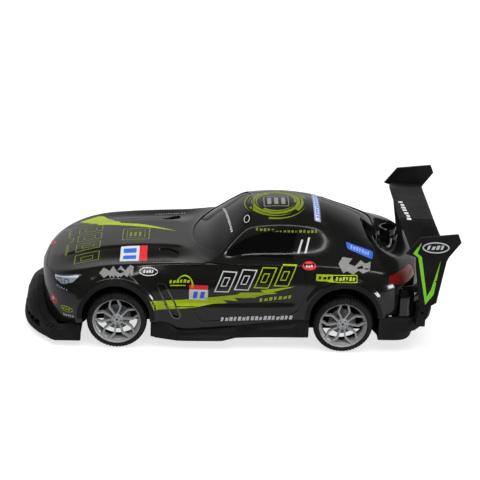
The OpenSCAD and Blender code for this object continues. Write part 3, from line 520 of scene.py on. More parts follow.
def half_grid():
    """Fine grid over the left half of the body: stations by points of the section."""
    ends = 50
    s = np.sin(np.linspace(0, math.pi / 2, ends + 1))[1:]
    x = np.concatenate([(-ROUND_FROM - (TAIL - ROUND_FROM) * s)[::-1],
                        np.arange(-ROUND_FROM, ROUND_FROM + 0.1, 0.8),
                        ROUND_FROM + (NOSE - ROUND_FROM) * s])
    p = section_points(x)
    n = p.shape[1]
    gaps = np.linalg.norm(np.diff(p, axis=1), axis=2)[..., None] + 1e-6
    chords = np.diff(p, axis=1) / gaps
    even = np.zeros_like(p)
    even[:, 1:-1] = ((chords[:, :-1] * gaps[:, 1:] + chords[:, 1:] * gaps[:, :-1])
                     / (gaps[:, :-1] + gaps[:, 1:]))
    even[:, 0] = chords[:, 0] * (1, 0)
    even[:, -1] = chords[:, -1]
    before, after = even.copy(), even.copy()
    crease = {RAIL: 0.35 + 0.55 * smooth_step((10 - x) / 20),
              SHOULDER: 0.25 + 0.7 * smooth_step((x + 60) / 40)}
    for i, sharp in crease.items():
        sharp = sharp[:, None]
        before[:, i] = even[:, i] * (1 - sharp) + chords[:, i - 1] * sharp
        after[:, i] = even[:, i] * (1 - sharp) + chords[:, i] * sharp
    columns = []
    for i in range(n - 1):
        for k in range(STEPS[i]):
            t = k / STEPS[i]
            columns.append(p[:, i] * (1 + 2 * t) * (1 - t) ** 2 + p[:, i + 1] * t * t * (3 - 2 * t)
                           + after[:, i] * gaps[:, i] * t * (1 - t) ** 2
                           - before[:, i + 1] * gaps[:, i] * t * t * (1 - t))
    columns.append(p[:, -1])
    yz = np.stack(columns, 1)
    for _ in range(2):
        yz[:, 1:-1] = yz[:, :-2] / 4 + yz[:, 1:-1] / 2 + yz[:, 2:] / 4
    return np.concatenate([np.repeat(x[:, None, None], yz.shape[1], 1), yz], 2)


def full_rings(half):
    """Whole rings from half ones: right lower edge, over the top, left lower edge."""
    return np.concatenate([half[:, :0:-1] * (1, -1, 1), half], 1)


def grid_normals(g):
    """Outward normals of a grid of full rings."""
    along = np.gradient(g, axis=0)
    around = np.gradient(g, axis=1)
    n = np.cross(along, around)
    n /= np.linalg.norm(n, axis=2)[..., None] + 1e-12
    n[0] = (-1, 0, 0)
    n[-1] = (1, 0, 0)
    return n


def sculpt(h):
    """Raised arch lips, hood dome, waist and sill of the doors, on the left half grid."""
    x, y, z = h[..., 0], h[..., 1], h[..., 2]
    side = smooth_step((y - 50) / 6) * smooth_step((66 - z) / 8)
    lift = np.zeros_like(x)
    for cx, cz, r in ARCHES:
        away = np.hypot(x - cx, np.maximum(z - cz, 0)) - r
        lift = np.maximum(lift, 1.25 * smooth_step((7.0 - away) / 2.2))
    between = smooth_step((x + 50) / 8) * smooth_step((54 - x) / 8)
    sill = 33.5 + 0.02 * x
    waist = np.maximum(37 - 0.085 * x, sill + 2.5)
    hollow = np.where(z > waist, smooth_step((waist + 11 - z) / 11), smooth_step((z - sill) / (waist - sill)))
    y = y + side * (lift - 1.5 * between * hollow)
    dome = smooth_step((24.5 - np.abs(y)) / 2.2) * smooth_step((x - 36) / 8) * smooth_step((132 - x) / 14)
    z = z + 0.75 * dome * (z > 40)
    return np.stack([x, y, z], -1)


body_half = sculpt(half_grid())
body_rings = full_rings(body_half)
body_normals = grid_normals(body_rings)


def grid_quads(rings):
    """Index of each point of the rings, and the quads between neighbouring rings."""
    index = np.arange(rings.shape[0] * rings.shape[1]).reshape(rings.shape[:2])
    corners = [index[:-1, :-1], index[1:, :-1], index[1:, 1:], index[:-1, 1:]]
    return index, np.stack(corners, -1).reshape(-1, 4).tolist()


def body_solid(inset, name="solid", deeper=0.0):
    """Closed solid inside the body's surface, moved in by inset; deeper lowers its bottom."""
    g = body_rings - body_normals * inset
    if deeper:
        g[:, [0, -1], 2] -= deeper
    index, quads = grid_quads(g)
    for i in range(len(g) - 1):
        quads.append([index[i, -1], index[i + 1, -1], index[i + 1, 0], index[i, 0]])
    quads.append(index[0].tolist())
    quads.append(index[-1, ::-1].tolist())
    return make(name, g.reshape(-1, 3), quads)


def surface_tree():
    _, quads = grid_quads(body_rings)
    return BVHTree.FromPolygons(body_rings.reshape(-1, 3).tolist(), quads)


body_tree = surface_tree()

# ---------------------------------------------------------------- flat shapes laid on surfaces


def inside(outlines, points):
    """Which points lie inside the outlines, counting holes."""
    hit = np.zeros(len(points), bool)
    x, y = points[:, 0], points[:, 1]
    for outline in outlines:
        p = np.array(outline, float)
        q = np.roll(p, -1, 0)
        for (x1, y1), (x2, y2) in zip(p, q):
            if y1 != y2:
                hit ^= ((y1 > y) != (y2 > y)) & (x < (x2 - x1) * (y - y1) / (y2 - y1) + x1)
    return hit


def fill(outlines, pitch=1.5, grid=True):
    """Points and triangles that fill the outlines."""
    points, edges = [], []
    for outline in outlines:
        start = len(points)
        for a, b in zip(outline, outline[1:] + outline[:1]):
            steps = max(1, int(math.dist(a, b) / pitch + 0.5)) if grid else 1
            points += [(a[0] + (b[0] - a[0]) * k / steps, a[1] + (b[1] - a[1]) * k / steps)
                       for k in range(steps)]
        count = len(points) - start
        edges += [(start + k, start + (k + 1) % count) for k in range(count)]
    if grid:
        rim = np.array(points)
        low, high = rim.min(0), rim.max(0)
        u, v = np.meshgrid(np.arange(low[0], high[0], pitch), np.arange(low[1], high[1], pitch))
        spots = np.stack([u.ravel() + pitch / 3, v.ravel() + pitch / 3], 1)
        spots = spots[inside(outlines, spots)]
        if len(spots):
            near = np.min(np.linalg.norm(spots[:, None] - rim[None], axis=2), axis=1)
            points += [tuple(s) for s in spots[near > pitch * 0.4]]
    verts, _, faces, *_ = delaunay_2d_cdt([Vector(p) for p in points], edges, [], 0, 1e-5)
    verts = np.array([tuple(v) for v in verts])
    faces = np.array([f[:] for f in faces if len(f) == 3])
    faces = faces[inside(outlines, verts[faces].mean(1))]
    a, b, c = (verts[faces[:, k]] for k in range(3))
    flip = (b[:, 0] - a[:, 0]) * (c[:, 1] - a[:, 1]) - (b[:, 1] - a[:, 1]) * (c[:, 0] - a[:, 0]) < 0
    faces[flip] = faces[flip][:, ::-1]
    used, faces = np.unique(faces, return_inverse=True)
    return verts[used], faces.reshape(-1, 3)


def node_tree(node):
    """Ray-casting tree of a CAD node, in millimetres."""
    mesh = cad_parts[node].data
    points = np.array([v.co for v in mesh.vertices]) / MM
    return BVHTree.FromPolygons(points.tolist(), [p.vertices[:] for p in mesh.polygons])


def rim_of(faces):
    """Edges that only one of the triangles uses, in their direction."""
    directed = {(int(f[k]), int(f[(k + 1) % 3])) for f in faces for k in range(3)}
    return sorted(e for e in directed if (e[1], e[0]) not in directed)


def plate(outlines, low, high, axis="z", name="plate"):
    """Closed plate with holes over flat outlines; the outlines are used as in prism."""
    verts, faces = fill([list(map(tuple, o)) for o in outlines], grid=False)
    n = len(verts)
    points = [STAND[axis](p, h) for h in (low, high) for p in verts]
    quads = [f[::-1].tolist() for f in faces] + [(f + n).tolist() for f in faces]
    quads += [[a, b, b + n, a + n] for a, b in rim_of(faces)]
    return make(name, points, quads)


def facing(at, turn, side):
    """View straight onto an upright plane that faces outwards at a plan angle."""
    angle = math.radians(turn)
    out = Vector((math.cos(angle), side * math.sin(angle), 0))
    across = Vector((-math.sin(angle), side * math.cos(angle), 0))
    centre = Vector((at[0], side * at[1], at[2]))
    return lambda u, v: (centre + across * u + Vector((0, 0, v)) + out * 60, -out)


# Where a ray over (u, v) starts, and its direction, for each plain view
VIEWS = {
    "left": lambda u, v: ((u, 90, v), (0, -1, 0)),
    "right": lambda u, v: ((u, -90, v), (0, 1, 0)),
    "top": lambda u, v: ((u, v, 130), (0, 0, -1)),
    "nose": lambda u, v: ((190, u, v), (-1, 0, 0)),
    "tail": lambda u, v: ((-190, u, v), (1, 0, 0)),
}


def laid(outlines, view, tree=None, lift=0.07, sink=0.06, pitch=1.5, name="print"):
    """Thin closed film whose flat outlines are cast onto a surface from the left, the right or above."""
    tree = tree or body_tree
    verts, faces = fill([list(map(tuple, o)) for o in outlines], pitch)
    upper, lower, good = [], [], []
    for u, v in verts:
        start, ahead = view(u, v) if callable(view) else VIEWS[view](u, v)
        at, normal, _, _ = tree.ray_cast(Vector(start), Vector(ahead))
        good.append(at is not None)
        if at is None:
            at, normal = Vector(start), -Vector(ahead)
        if normal.dot(Vector(ahead)) > 0:
            normal = -normal
        upper.append(at + normal * lift)
        lower.append(at - normal * sink)
    faces = faces[np.array(good)[faces].all(1)]
    used, faces = np.unique(faces, return_inverse=True)
    faces = faces.reshape(-1, 3)
    n = len(used)
    points = [upper[k] for k in used] + [lower[k] for k in used]
    quads = [f.tolist() for f in faces] + [(f + n)[::-1].tolist() for f in faces]
    quads += [[b, a, a + n, b + n] for a, b in rim_of(faces)]
    return make(name, points, quads)


# ---------------------------------------------------------------- body shell, windows and lamps

GAP = 0.22
LAMP_AT, LAMP_TURN = (119, 42, 47.5), 56
TAIL_AT, TAIL_TURN = (-119, 40, 56.9), 126
NECK_X = (cad_mm("filler_neck")[0][0] + cad_mm("filler_neck")[1][0]) / 2


def offset(outline, amount):
    """Outline moved outwards by amount; corners stay corners."""
    p = np.array(outline, float)
    before, after = p - np.roll(p, 1, 0), np.roll(p, -1, 0) - p
    area = np.sum(p[:, 0] * np.roll(p[:, 1], -1) - np.roll(p[:, 0], -1) * p[:, 1])
    turn = 1 if area > 0 else -1
    n1 = np.stack([before[:, 1], -before[:, 0]], 1) * turn / np.linalg.norm(before, axis=1)[:, None]
    n2 = np.stack([after[:, 1], -after[:, 0]], 1) * turn / np.linalg.norm(after, axis=1)[:, None]
    mid = n1 + n2
    scale = 2 / np.maximum(np.sum(mid * mid, 1), 0.4)
    return (p + mid * scale[:, None] * amount).tolist()


def rounded(outline, radius, steps=5):
    """Outline with its corners rounded."""
    p = np.array(outline, float)
    out = []
    for a, b, c in zip(np.roll(p, 1, 0), p, np.roll(p, -1, 0)):
        reach = min(radius, np.linalg.norm(a - b) * 0.45, np.linalg.norm(c - b) * 0.45)
        start = b + (a - b) / np.linalg.norm(a - b) * reach
        end = b + (c - b) / np.linalg.norm(c - b) * reach
        for k in range(steps + 1):
            t = k / steps
            out.append(((1 - t) ** 2 * start + 2 * t * (1 - t) * b + t * t * end).tolist())
    return out


def windscreen_outline():
    base = [(31.5 - 17 * (abs(i) / 16) ** 2.2, i * 2.55) for i in range(-16, 17)]
    top = [(-9 - 3 * (1 - (abs(i) / 6) ** 2), -i * 4.8) for i in range(-6, 7)]
    return base + top


def rear_window_outline():
    return rounded([(-66.5, -26.5), (-64.5, -13), (-63.8, 0), (-64.5, 13), (-66.5, 26.5), (-103, 27),
                    (-107, 0), (-103, -27)], 4)


def side_window_outline():
    rim = [(8 - 48.5 * i / 24, 68.3 + 16 * math.sin(math.pi / 2 * (i / 24) ** 0.75)) for i in range(25)]
    return rim + [(-43.5, 84.1), (-40.5, 68.2)]


def headlamp_outline():
    return rounded([(-12.8, -0.4), (-12.4, -2.4), (-9.5, -3.8), (-3.3, -4.4), (3.2, -3.4), (9.0, -0.4),
                    (11.8, 3.4),
                    (12.4, 5.9), (9.6, 5.5), (0.6, 2.9), (-6, 1.1)], 1.0)


def tail_lamp_outline():
    return rounded([(-18, -1.2), (-16, 2.2), (-6, 3.6), (11, 3.2), (14, 0), (13, -5), (0, -5.4),
                    (-12, -4.4)], 2.0)


def facing_prism(outline, at, angle, depth, start=0.0):
    """Prism over an outline that stands upright and faces outwards at the given plan angle."""
    return turned(prism(outline, start, start + depth, "x"), at, angle)


def side_prism(outline, low=30.0, high=72.0):
    return prism(outline, low, high, "y")


def arch_outline(cx, cz, r, grow=0.0):
    arc = [(cx + (r + grow) * math.cos(a), cz + (r + grow) * math.sin(a))
           for a in np.linspace(0, math.pi, 49)]
    return arc + [(cx - r - grow, -6), (cx + r + grow, -6)]


def both_sides(piece):
    return [piece, mirror_y(piece)]


def recess(outline_prism, depth):
    """Cutter that leaves the shell's skin standing below depth."""
    return combine(outline_prism, body_solid(depth))


# Long glossy gill behind the front arch and scoop on the hood
GILL = [(56.3, 50.6), (50.8, 50.4), (39.4, 27.4), (40.6, 24.6), (44.2, 25.4)]
SCOOP = [(57.2, 27.0), (48.5, 25.8), (41.0, 31.0), (41.6, 39.5), (48.0, 37.4)]


DOOR_LINE = rounded([(33.5, 61.5), (31.5, 45), (28.5, 29), (24, 21.8), (-38, 27.4), (-46.5, 33), (-50.5, 44),
                     (-51, 61.5), (-44, 65.2), (20, 64.4)], 3)


def shell():
    thing = body_solid(0, "body_shell_skin")
    combine(thing, body_solid(WALL, deeper=5))
    cutters = [prism(windscreen_outline(), 50, 110), prism(rear_window_outline(), 50, 110)]
    cutters += both_sides(side_prism(side_window_outline()))
    for arch in ARCHES:
        cutters += both_sides(side_prism(arch_outline(*arch), 34, 72))
    cutters += both_sides(facing_prism(headlamp_outline(), LAMP_AT, LAMP_TURN, 24))
    cutters += both_sides(facing_prism(tail_lamp_outline(), TAIL_AT, TAIL_TURN, 30))
    cutters.append(spin([(0.01, 50), (8, 50), (8, 90), (0.01, 90)], 48, (NECK_X, 0, 0), "z"))
    cutters += both_sides(recess(side_prism(rounded(GILL, 2.4), 50, 72), 1.0))
    cutters += both_sides(recess(prism(rounded(SCOOP, 3), 55, 80), 1.1))
    cutters += both_sides(recess(plate([DOOR_LINE, offset(DOOR_LINE, -0.5)], 40, 72, "y"), 0.55))
    for cutter in cutters:
        combine(thing, cutter)
    return paint(thing, PAINT)


def panel_stock():
    """Curved sheet that follows the body just under the paint, from which the windows are cut."""
    return combine(body_solid(0.25), body_solid(1.5, deeper=5))


def cut_panel(stock, cutter, name, material):
    thing = combine(copy(stock, name), cutter, "INTERSECT")
    return paint(thing, material)


finish_piece(shell(), "chassis", "shell_paint", "body_shell")
stock = panel_stock()
SIDES = (("left", 1), ("right", -1))


def sided(piece, name, side):
    """The piece itself on the left, its mirror image on the right."""
    if side > 0:
        piece.name = name
        return piece
    twin = mirror_y(piece, name)
    drop(piece)
    return twin


finish_piece(cut_panel(stock, prism(offset(windscreen_outline(), -GAP), 50, 110), "windscreen_glass", GLASS),
             "chassis", "glazing", "windscreen")
finish_piece(cut_panel(stock, prism(offset(rear_window_outline(), -GAP), 50, 110), "rear_window_glass",
                       GLASS),
             "chassis", "glazing", "rear_window")
for side_name, side in SIDES:
    for label, cutter, look, record_slot in (
            ("side_window", side_prism(offset(side_window_outline(), -GAP)), GLASS, "glazing"),
            ("headlamp_lens", facing_prism(offset(headlamp_outline(), -GAP), LAMP_AT, LAMP_TURN, 24),
             LAMP_CLEAR, "headlamp_clear"),
            ("tail_lamp_lens", facing_prism(offset(tail_lamp_outline(), -GAP), TAIL_AT, TAIL_TURN, 30),
             RED_GLASS, "tail_lamp_red")):
        panel = sided(cut_panel(stock, cutter, "panel", look), f"{label}_{side_name}_cover", side)
        finish_piece(panel, "chassis", record_slot, f"{label}_{side_name}")
drop(stock)

# ---------------------------------------------------------------- wheels

TYRE_R = cad_mm("front_tyre_left")[1][2] / 2
WHEEL_OUT = cad_mm("front_tyre_left")[1][1]
TYRE_W = WHEEL_OUT - cad_mm("front_tyre_left")[0][1]
RIM_R = (cad_mm("front_rim_left")[1][2] - cad_mm("front_rim_left")[0][2]) / 2
TREAD_BLOCKS = 54


def ring_solid(rows, name, angle=30):
    """Closed solid from rings of points, each ring a loop of the same length."""
    m, n, _ = rows.shape
    index = np.arange(m * n).reshape(m, n)
    quads = [[index[i, j], index[(i + 1) % m, j], index[(i + 1) % m, (j + 1) % n], index[i, (j + 1) % n]]
             for i in range(m) for j in range(n)]
    return make(name, rows.reshape(-1, 3), quads, None, angle)


def tyre(name):
    """Low-profile tyre lying on the axle line: outer face at y = 0, inner face at -TYRE_W."""
    corner, back = 3.6, 2.6
    arc = [(TYRE_R - corner + corner * math.sin(a), -corner + corner * math.cos(a))
           for a in np.linspace(0, math.pi / 2, 9)]
    rear = [(TYRE_R - back + back * math.cos(a), -TYRE_W + back - back * math.sin(a))
            for a in np.linspace(0, math.pi / 2, 7)]
    flat = [(TYRE_R, h) for h in (-4.6, -5.6, -6.8, -7.0, -7.8, -8.0, -9.6, -11.2, -11.4, -12.2, -12.4,
                                  -13.8, -15.2, -16.4)]
    wall = [(RIM_R, -1.1), (RIM_R + 0.15, -0.45), (17.95, -0.3), (18.05, -0.02)]
    ends = [(19.05, -TYRE_W), (18.95, -TYRE_W + 0.3), (18.95, -11), (RIM_R, -10.2)]
    profile = wall + arc + flat + rear + ends
    steps = TREAD_BLOCKS * 8
    angle = 2 * math.pi * np.arange(steps) / steps
    rows = []
    for r, h in profile:
        cut = np.zeros(steps)
        phase = np.arange(steps) % 8
        if r > TYRE_R - 1.6 and h > -6.9:
            cut = np.where((phase == 0) | (phase == 1), 0.6, 0)
        elif r > TYRE_R - 1.2 and h < -12.3:
            cut = np.where((phase == 4) | (phase == 5), 0.6, 0)
        elif h in (-7.0, -7.8, -11.4, -12.2):
            cut = np.full(steps, 0.5)
        elif -11.3 < h < -8:
            cut = np.where(phase == 2, 0.45, 0)
        radius = r - cut
        rows.append(np.stack([radius * np.cos(angle), np.full(steps, h), radius * np.sin(angle)], 1))
    return ring_solid(np.array(rows).transpose(1, 0, 2), name, 24)


def rib(points, width, tops, thick):
    """Bar along points (along, across) in the wheel plane, with its own face height at each point."""
    p = np.array(points, float)
    step = np.gradient(p, axis=0)
    step /= np.linalg.norm(step, axis=1)[:, None]
    side = np.stack([-step[:, 1], step[:, 0]], 1) * width / 2
    rows = np.array([[(*(q - s), t), (*(q + s), t), (*(q + s * 1.15), t - thick),
                      (*(q - s * 1.15), t - thick)]
                     for q, s, t in zip(p, side, tops)])
    m = len(rows)
    quads = [[4 * i + j, 4 * i + (j + 1) % 4, 4 * i + 4 + (j + 1) % 4, 4 * i + 4 + j]
             for i in range(m - 1) for j in range(4)]
    quads += [[0, 1, 2, 3], [4 * m - 1, 4 * m - 2, 4 * m - 3, 4 * m - 4]]
    return rows.reshape(-1, 3), quads


def rim(name):
    """Open rim with five leaf-shaped spokes, each made of two ribs that part and meet again."""
    barrel = spin([(RIM_R, -1.2), (RIM_R - 0.35, -0.75), (16.9, -1.1), (16.45, -1.9), (16.2, -3.3),
                   (15.55, -3.8),
                   (15.2, -4.8), (14.8, -6.5), (15.2, -9), (16.4, -9.8), (RIM_R, -9.8)], 120, name=name)
    for k in range(5):
        turn = math.radians(90 + 72 * k)
        for s in (-1, 1):
            points = [(2.6, s * 0.5), (5.2, s * 1.55), (8.0, s * 3.0), (10.2, s * 3.95), (11.0, s * 4.05),
                      (13.2, s * 3.35), (16.3, s * 2.45)]
            verts, quads = rib(points, 1.15, (-3.7, -3.6, -3.2, -2.8, -2.7, -2.5, -2.3), 2.6)
            placed = [(u * math.cos(turn) - v * math.sin(turn), h, u * math.sin(turn) + v * math.cos(turn))
                      for u, v, h in verts]
            combine(barrel, make("rib", placed, quads), "UNION")
    combine(barrel, spin([(0.9, -3.3), (1.1, -3.0), (3.9, -3.1), (4.4, -3.6), (4.4, -9.2), (0.9, -9.2)], 60),
            "UNION")
    combine(barrel, spin([(1.0, -9.0), (3.6, -9.0), (3.6, -17.4), (1.0, -17.4)], 48), "UNION")
    for k in range(5):
        turn = math.radians(54 + 72 * k)
        hole = spin([(0.01, -5), (0.55, -5), (0.55, -1), (0.01, -1)], 20,
                    (2.95 * math.cos(turn), 0, 2.95 * math.sin(turn)))
        combine(barrel, hole)
    return bevel(barrel, 0.18, 2, 35)


def disc(name):
    """Vented brake disc with two rings of drilled holes."""
    thing = spin([(3.9, -8.5), (9.6, -8.5), (9.8, -8.65), (9.8, -9.25), (9.6, -9.4), (3.9, -9.4)], 96,
                 name=name)
    holes = []
    for ring, count, first in ((8.6, 20, 0.0), (6.6, 20, 0.5)):
        for k in range(count):
            turn = 2 * math.pi * (k + first) / count
            holes.append(spin([(0.01, -10), (0.42, -10), (0.42, -8), (0.01, -8)], 12,
                              (ring * math.cos(turn), 0, ring * math.sin(turn))))
    return combine(thing, join("holes", holes))


def wheel_screw(name, end):
    head = [(0.01, -4.2), (0.9, -4.2), (1.75, -4.5), (1.9, -4.9), (1.9, -5.5), (0.85, -5.5), (0.85, -end),
            (0.01, -end)]
    thing = spin(head, 40, name=name)
    for turn in (45, 135):
        bar = prism([(-1.1, -0.28), (1.1, -0.28), (1.1, 0.28), (-1.1, 0.28)], -4.9, -4, "y")
        bar.data.transform(Matrix.Rotation(math.radians(turn), 4, "Y"))
        combine(thing, bar)
    return thing


def at_wheel(thing, x, side, turn=0.0):
    """Moves a wheel piece to its axle; pieces on the right are turned half way round."""
    move = Matrix.Translation(Vector((x, side * WHEEL_OUT, TYRE_R)) * MM)
    face = Matrix.Rotation(0 if side > 0 else math.pi, 4, "Z")
    thing.data.transform(move @ face @ Matrix.Rotation(math.radians(turn), 4, "Y"))
    return thing


def wheels():
    master = {"rim": paint(rim("rim_master"), CHROME), "tyre": paint(tyre("tyre_master"), TYRE),
              "disc": paint(disc("disc_master"), DISC)}
    for end, x, turn in (("front", FRONT_X, 7), ("rear", REAR_X, -1)):
        for label, side in SIDES:
            body = f"front_wheel_{label}" if end == "front" else "rear_axle_set"
            for kind, record_slot in (("rim", "wheel_chrome"), ("tyre", "tyre"), ("disc", "disc_metal")):
                piece = copy(master[kind], f"{end}_{kind}_{label}_detail")
                if kind == "rim":
                    bevel(piece, 0.18, 2, 35)
                at_wheel(piece, x, side, turn)
                finish_piece(piece, body, record_slot, f"{end}_{kind}_{label}")
    for label, side in SIDES:
        screw = paint(wheel_screw("screw", 12.8), CHROME)
        at_wheel(screw, FRONT_X, side)
        screw.name = f"front_wheel_screw_{label}_detail"
        finish_piece(screw, f"front_wheel_{label}", "steel", f"front_wheel_screw_{label}")
    pair = [at_wheel(paint(wheel_screw("screw", 10.0), CHROME), REAR_X, side) for _, side in SIDES]
    finish_piece(join("rear_wheel_screws_detail", pair), "rear_axle_set", "steel", "rear_wheel_screws")
    drop(*master.values())


wheels()

# ---------------------------------------------------------------- printed marks, all of them plain shapes


def slant(x, z, wide, tall, lean, dx=-1):
    """Leaning bar: lower start corner, width, height and lean of its top; dx is the reading direction."""
    return [(x, z), (x + dx * wide, z), (x + dx * (wide + lean), z + tall), (x + dx * lean, z + tall)]


def bar_row(start, end, count, tall, share=0.62, lean=0.0):
    """Row of bars between two points; tall is the height across the row."""
    start, end = np.array(start, float), np.array(end, float)
    along = (end - start) / count
    up = np.array([along[1], -along[0]]) / np.linalg.norm(along) * (1 if along[0] < 0 else -1)
    bars = []
    for k in range(count):
        a = start + along * k
        wide = along * (share if k % 3 else share * 0.8)
        high = up * (tall if k % 4 != 1 else tall * 0.8)
        tip = along / np.linalg.norm(along) * lean
        bars.append([[tuple(a), tuple(a + wide), tuple(a + wide + high + tip), tuple(a + high + tip)]])
    return bars


def ellipse(cx, cy, rx, ry, steps=36, start=0.0, end=360.0):
    return [(cx + rx * math.cos(t), cy + ry * math.sin(t))
            for t in np.radians(np.linspace(start, end, steps, endpoint=end - start < 360))]


def loop(outline, width):
    """Outline drawn as a line of the given width."""
    return [outline, offset(outline, -width)]


def arc_band(cx, cy, r0, r1, start, end, taper=1.0, steps=40):
    """Curved band from one angle to another, thinning towards its end."""
    angles = np.radians(np.linspace(start, end, steps))
    mid, half = (r0 + r1) / 2, (r1 - r0) / 2
    share = np.linspace(1, 1 - taper * 0.98, steps)
    outer = [(cx + (mid + half * s) * math.cos(a), cy + (mid + half * s) * math.sin(a))
             for a, s in zip(angles, share)]
    inner = [(cx + (mid - half * s) * math.cos(a), cy + (mid - half * s) * math.sin(a))
             for a, s in zip(angles, share)]
    return [outer + inner[::-1]]


def box_shape(x0, y0, x1, y1, radius=0.0):
    corners = [(x0, y0), (x1, y0), (x1, y1), (x0, y1)]
    return rounded(corners, radius) if radius else corners


def mark(name, ink, view, shapes, body="chassis", slot="shell_paint", **settings):
    """One object from several printed shapes; each shape is a list of outlines."""
    pieces = [laid(shape, view, name=name, **settings) for shape in shapes]
    return finish_piece(paint(join(name, pieces), ink), body, slot)


DOOR_BOLT = [(63.6, 38.4), (39.4, 38.6), (17.9, 41.2), (-1, 44.0), (-3.6, 45.8), (-20, 46.4), (-18, 48.2),
             (-42.8, 51.8),
             (-27, 47.0), (-30, 45.7), (-12, 43.4), (-15, 41.8), (0.5, 41.2), (-2, 38.7), (9, 39.2),
             (5.5, 36.8),
             (15.6, 36.0), (36, 32.6), (60.9, 31.2)]
PATCH_FRONT = [(98, 55.4), (95, 58.2), (90.5, 57.0), (88, 59.4), (85.5, 57.2), (82.6, 59.9), (79.5, 57.8),
               (76, 60.6),
               (73.4, 60.0), (73.8, 55.2), (76.4, 56.6), (77.6, 54.6), (80.6, 55.8), (83.2, 53.6), (86, 55.4),
               (88.6, 53.4), (91.4, 55.2), (94.4, 53.6)]
PATCH_REAR = [(-73.5, 66.5), (-77, 69.6), (-84, 68.6), (-81, 66.4), (-85.5, 65.2), (-90, 67.4), (-93.4, 65.8),
              (-97.6, 66.2), (-96.2, 62.6), (-91.2, 61.2), (-88.2, 63.0), (-84.2, 60.8), (-79.6, 62.8),
              (-77.2, 61.6)]
END_PLATE_V = [(-129.7, 91.8), (-124.2, 83.1), (-128.1, 79.9), (-136.3, 42.8), (-141.7, 51.1), (-144.3, 77.9),
               (-139.4, 55), (-136.9, 49.2), (-130.6, 80.6), (-127.2, 83.2)]


def side_marks(label):
    """Marks of one flank."""
    def put(name, ink, shapes, **settings):
        return mark(f"{name}_{label}", ink, label, shapes, **settings)

    blocks = [slant(15.5 - 14.2 * k, 45.8 + 1.9 * k, 10.6, 14.6, 6.2) for k in range(4)]
    cores = [slant(11.0 - 14.2 * k, 50.0 + 1.9 * k, 4.4, 6.4, 2.8) for k in range(4)]
    put("block_marks_white", WHITE, [loop(b, 0.75) for b in blocks[:2]] + [loop(c, 0.6) for c in cores[:2]])
    put("block_marks_lime", LIME, [loop(b, 0.75) for b in blocks[2:]] + [loop(c, 0.6) for c in cores[2:]])
    put("door_bolt", LIME, [[DOOR_BOLT], [[(-5, 41.0), (-13, 42.0), (-22, 44.6), (-14, 43.4)]]])
    put("door_small_marks", LIME, bar_row((-17.5, 38.6), (-41.5, 42.2), 7, 2.6, 0.66, 0.8)
        + [arc_band(36.5, 50.4, 5.0, 6.2, 200, 20, 0.6)]
        + bar_row((47.5, 51.2), (32.5, 51.8), 6, 2.0, 0.7, 0.5) + [[slant(47, 49.4, 11, 0.7, 0.2)]])
    put("door_plate_white", WHITE, [[box_shape(19.6, 38.5, 33.2, 47.2, 0.6)]])
    put("door_plate_red", RED, [[box_shape(19.6, 47.3, 33.2, 50.3, 0.5)]])
    put("door_plate_blue", BLUE, [[slant(30.6, 40.3, 3.0, 5.4, 0.8)], [slant(25.6, 40.3, 3.0, 5.4, 0.8)]],
        lift=0.13)
    put("lower_marks_white", WHITE, bar_row((10, 22.6), (-42.5, 25.3), 17, 3.2, 0.72, 0.7))
    put("fender_marks_white", WHITE, [loop(ellipse(62.6, 57.7, 6.6, 2.3), 0.45)]
        + bar_row((66.4, 56.9), (58.6, 57.1), 4, 1.5, 0.7, 0.4))
    put("fender_patch", GREY, [[PATCH_FRONT, [(80, 57), (83, 56.2), (86, 57.2), (83, 58.2)]]])
    put("quarter_patch", GREY, [[PATCH_REAR, [(-86.5, 64.4), (-91, 65.2), (-92, 63.8), (-88, 63.6)]]])
    put("pillar_bars", WHITE, [[[(-44.2, 71), (-45.6, 71), (-48.4, 78.6), (-47.2, 78.8)]],
                               [[(-49.3, 71), (-50.7, 71), (-53.5, 79.8), (-52.2, 80)]]])
    put("pillar_oval_red", RED, [[ellipse(-52.6, 65.3, 4.9, 2.2)]])
    put("pillar_oval_bar", WHITE, bar_row((-50.2, 64.7), (-55.4, 64.9), 3, 1.1, 0.7), lift=0.13)
    put("quarter_badge_lime", LIME, [loop(box_shape(-87.2, 56.3, -57.6, 60.7, 0.8), 0.6),
                                     [box_shape(-69.6, 56.8, -58.1, 60.2, 0.4)]]
        + bar_row((-71.5, 57.4), (-86, 57.5), 6, 2.0, 0.7, 0.4))
    put("quarter_badge_dark", INK_BLACK, bar_row((-59.2, 57.5), (-68.8, 57.6), 3, 2.0, 0.74, 0.4), lift=0.13)
    put("quarter_band_blue", BLUE, [[rounded([(-80, 76.4), (-80.6, 73.2), (-99, 66.9), (-100.2, 69.8)],
                                             1.2)]])
    put("quarter_band_marks", PALE_BLUE, bar_row((-83, 73.2), (-97.5, 68.4), 7, 1.5, 0.66), lift=0.13)
    put("corner_mark_red", RED, [arc_band(132.3, 29.8, 1.7, 3.4, 60, 330, 0.3)])
    put("corner_mark_lime", LIME, [loop(ellipse(121.4, 27.6, 4.6, 2.3), 0.5)]
        + bar_row((124.4, 26.9), (118.6, 27.1), 3, 1.4, 0.72, 0.3))
    put("corner_mark_white", WHITE, bar_row((124.0, 21.6), (115.6, 22.2), 5, 1.6, 0.7)
        + [[ellipse(132.2, 30.4, 1.0, 1.3)]])
    put("rail_marks_lime", OLIVE, bar_row((-14, 83.6), (-60, 82.4), 16, 1.7, 0.64))


